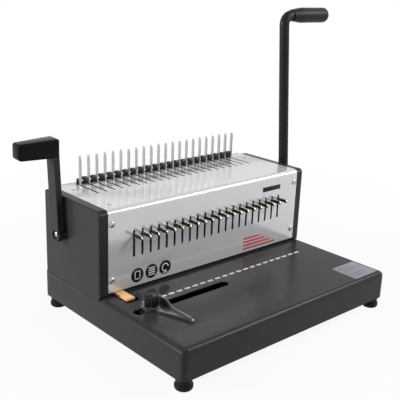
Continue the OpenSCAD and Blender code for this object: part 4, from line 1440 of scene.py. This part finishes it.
@dataclass
class PunchAndComb(SubAssembly):
    """Pull tabs, pins, hooks and the works inside."""

    hole_count: int = 21
    wire_r: float = 1.0 * MM
    wire_sides: int = 10
    coil_turns: int = 7
    coil_steps: int = 24
    coil_crease: float = 60
    stroke: float = 24.0 * MM

    def coil(self, radius: float, height: float) -> Mesh:
        """Wind a spring that stands at the origin.

        Args:
            radius: Distance of the wire's middle from the axis.
            height: The spring's height.

        Returns:
            The mesh.
        """
        wire = bmesh.new()
        bmesh.ops.create_circle(wire, cap_ends=False, radius=self.wire_r, segments=self.wire_sides)
        bmesh.ops.rotate(wire, matrix=Facing.FRONT.value, verts=wire.verts[:])
        Shapes.move(wire, (radius, 0, self.wire_r))
        steps = self.coil_turns * self.coil_steps
        Shapes.sweep(wire, self.coil_turns * FULL_TURN, steps, (height - 2 * self.wire_r) / steps)
        bmesh.ops.holes_fill(wire, edges=[e for e in wire.edges if e.is_boundary], sides=0)
        Shapes.outward(wire)
        return wire

    def build_springs(self) -> None:
        """Wind the two return springs in place of the plain ones."""
        low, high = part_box("return_springs")
        outer_r, height = (high.y - low.y) / 2, high.z - low.z
        y = (low.y + high.y) / 2
        coils = [Bench.stand(self.coil(outer_r - self.wire_r, height), Vector((x, y, low.z)))
                 for x in (low.x + outer_r, high.x - outer_r)]
        made = self.bench.piece("coil_springs", coils, "spring_wire", Riding("frame", "spring_steel"),
                                crease=self.coil_crease)
        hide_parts("return_springs")
        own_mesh(made)

    def build(self) -> None:
        """Dress the works and wind their springs."""
        self.bench.finishes.dress({
            "tab_steel": [f"pull_tab_{i:02d}" for i in range(1, self.hole_count + 1)],
            "pin_steel": ["opening_pins"],
            "hook_paint": ["hook_rail", "comb_hooks"],
            "frame_zinc": ["side_frames", "carriage_rails", "carriage_bar"],
            "beam_oxide": ["punch_beam"],
            "tool_steel": ["die_plate", "guide_block", "punches", "guide_pillars", "main_shaft",
                           "opener_shaft"],
            "gear_steel": ["drive_pinions", "beam_racks", "sector_gears", "carriage_racks"],
            "bush_bronze": ["shaft_bushes"],
        })
        self.build_springs()


@dataclass
class PaperStops(SubAssembly):
    """Edge guide with its knob, and the depth stop's yellow tab."""

    flutes: int = 12
    flute_sides: int = 8
    flute_share: float = 0.13
    knob_edge_r: float = 1.3 * MM
    bore: Pair = (3.3 * MM, 3.0 * MM)

    def fluted(self, radius: float, height: float) -> Mesh:
        """Make a solid knob with flutes, standing at the origin.

        Args:
            radius: Its radius over the lobes.
            height: Its height.

        Returns:
            The mesh.
        """
        knob = bmesh.new()
        sides = self.flutes * self.flute_sides
        bmesh.ops.create_circle(knob, cap_ends=True, radius=radius, segments=sides)
        for corner in knob.verts:
            hollow = (1 - math.cos(self.flutes * math.atan2(corner.co.y, corner.co.x))) / 2
            share = 1 - self.flute_share * hollow * hollow
            Shapes.scale(knob, (share, share, 1), [corner])
        Shapes.lift(knob, height, self.knob_edge_r)
        return knob

    def drill(self, knob: Mesh, height: float) -> None:
        """Give the knob its blind hole for the stud.

        Args:
            knob: The solid knob, standing at the origin.
            height: Its height.
        """
        bore_r, crown = self.bore
        foot = [f for f in knob.faces if f.calc_center_median().z < crown / 10]
        bmesh.ops.delete(knob, geom=foot, context="FACES_ONLY")
        rim = [e for e in knob.edges if e.is_boundary]
        ring = bmesh.ops.create_circle(knob, cap_ends=False, radius=bore_r,
                                       segments=self.flutes * self.flute_sides)["verts"]
        mouth = list({e for v in ring for e in v.link_edges})
        bmesh.ops.bridge_loops(knob, edges=rim + mouth)
        wall = bmesh.ops.extrude_edge_only(knob, edges=mouth)["geom"]
        Shapes.move(knob, (0, 0, height - crown), wall)
        bmesh.ops.edgeloop_fill(knob, edges=[e for e in knob.edges if e.is_boundary])
        Shapes.outward(knob)

    def build_knob(self) -> None:
        """Set the fluted knob on its stud."""
        low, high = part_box("clamp_knob")
        height = high.z - low.z
        knob = self.fluted((high.x - low.x) / 2, height)
        self.drill(knob, height)
        Bench.stand(knob, Vector(((low.x + high.x) / 2, (low.y + high.y) / 2, low.z)))
        made = self.bench.piece("fluted_knob", [knob], "knob_plastic",
                                Riding("clamp_knob", "knob_plastic"))
        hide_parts("clamp_knob")

    def build(self) -> None:
        """Dress the stops and set the knob."""
        self.bench.finishes.dress({
            "guide_coat": ["edge_guide"],
            "hook_paint": ["guide_clamp"],
            "tab_yellow": ["depth_stop"],
        })
        self.build_knob()


@dataclass(frozen=True)
class Softbox:
    """One soft lamp that looks at the machine."""

    name: str
    place: Triple
    size: Pair
    power: float

    def build(self, target: Vector) -> None:
        """Hang the lamp.

        Args:
            target: What it looks at.
        """
        data = bpy.data.lights.new(self.name, "AREA")
        data.shape = "RECTANGLE"
        data.size, data.size_y = self.size
        data.energy = self.power
        lamp = placed(self.name, data)
        lamp.location = self.place
        lamp.rotation_euler = (target - Vector(self.place)).to_track_quat("-Z", "Y").to_euler()


@dataclass
class Studio:
    """Pale floor, white surroundings, soft lamps and the camera."""

    marks: Marks
    white: Colour = (1.0, 1.0, 1.0)
    floor_colour: Colour = (0.8, 0.8, 0.8)
    floor_size: float = 12.0
    floor_glow: float = 0.92
    glow_ends: Pair = (0.35, 0.95)
    ambient: float = 0.17
    camera_left: float = 686.4 * MM
    camera_ahead: float = 729.4 * MM
    camera_up: float = 473.5 * MM
    camera_turn: float = -0.736
    camera_tilt: float = -0.302
    camera_roll: float = -0.038
    focal_share: float = 715.7 / 400
    sensor: float = 36.0
    clip: Pair = (0.05, 50.0)
    lamps: tuple[Softbox, ...] = (
        Softbox("left_softbox", (-1.9, 0.9, 0.8), (0.6, 0.6), 42.0),
        Softbox("top_softbox", (0.2, 0.2, 2.1), (1.4, 1.4), 1.0),
        Softbox("right_softbox", (1.05, -0.85, 1.05), (0.9, 0.5), 20.0),
    )

    @staticmethod
    def seen(pad: NodePad) -> Socket:
        """Give 1 for rays that show the surroundings to the camera, directly or in metal and glass.

        Args:
            pad: The pad of the tree that asks.

        Returns:
            The socket of that value.
        """
        path = pad.add("ShaderNodeLightPath").outputs
        mirrored = pad.math("MAXIMUM", path["Is Glossy Ray"], path["Is Transmission Ray"])
        return pad.math("MAXIMUM", path["Is Camera Ray"], mirrored)

    def build_world(self) -> None:
        """Surround the machine with white that lights it softly."""
        world = bpy.data.worlds.new("white_surroundings")
        pad = NodePad(world)
        strength = pad.spread(self.seen(pad), (0.0, 1.0), (self.ambient, 1.0))
        back = pad.add("ShaderNodeBackground", {"Color": self.white, "Strength": strength})
        pad.add("ShaderNodeOutputWorld", {"Surface": back.outputs["Background"]})
        bpy.context.scene.world = world

    def build_floor(self) -> None:
        """Lay the pale floor, which keeps the machine's shadow and turns white further off."""
        material = bpy.data.materials.new("pale_floor")
        pad = NodePad(material)
        matt = pad.add("ShaderNodeBsdfDiffuse", {"Color": self.floor_colour}).outputs["BSDF"]
        glow = pad.add("ShaderNodeEmission", {"Color": self.white, "Strength": 1.0}).outputs["Emission"]
        away = pad.vector("LENGTH", pad.add("ShaderNodeTexCoord").outputs["Object"])["Value"]
        glowing = pad.spread(away, self.glow_ends, (self.floor_glow, 1.0))
        share = pad.math("MULTIPLY", self.seen(pad), glowing)
        both = pad.add("ShaderNodeMixShader", {"Fac": share, 1: matt, 2: glow})
        pad.add("ShaderNodeOutputMaterial", {"Surface": both.outputs["Shader"]})
        mesh = mesh_of("floor", Shapes.rectangle(self.floor_size, self.floor_size))
        mesh.materials.append(material)
        placed("floor", mesh)

    def build_camera(self) -> None:
        """Set the camera where the photograph was taken from."""
        data = bpy.data.cameras.new("photo_camera")
        data.sensor_width = self.sensor
        data.lens = self.sensor * self.focal_share
        data.clip_start, data.clip_end = self.clip
        camera = placed("photo_camera", data)
        turn = (Matrix.Rotation(self.camera_turn, 4, "Z") @ Matrix.Rotation(self.camera_tilt, 4, "X")
                @ Matrix.Rotation(self.camera_roll, 4, "Y") @ Matrix.Rotation(QUARTER_TURN, 4, "X"))
        place = self.marks.at(-self.camera_left, -self.camera_ahead)
        place.z = self.camera_up
        camera.matrix_world = Matrix.Translation(place) @ turn
        bpy.context.scene.camera = camera

    def build(self) -> None:
        """Set up the studio."""
        bpy.context.scene.view_settings.view_transform = "Standard"
        self.build_world()
        self.build_floor()
        self.build_camera()
        target = (CAD_BOX[0] + CAD_BOX[1]) / 2
        for lamp in self.lamps:
            lamp.build(target)


def main() -> None:
    """Build the studio, dress the machine and report each piece."""
    logging.basicConfig(level=logging.INFO, format="%(name)s: %(message)s")
    sheet_low, sheet_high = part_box("front_top_cover")
    table_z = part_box("base_shell")[1].z
    marks = Marks((sheet_low.x + sheet_high.x) / 2, sheet_low.y, table_z)
    bench = Bench(Finishes(marks.row_x))
    Studio(marks).build()
    for kind in (Housing, FrontPanel, Screws, Levers, PunchAndComb, PaperStops):
        kind(bench, marks).build()


if __name__ == "__main__":
    main()
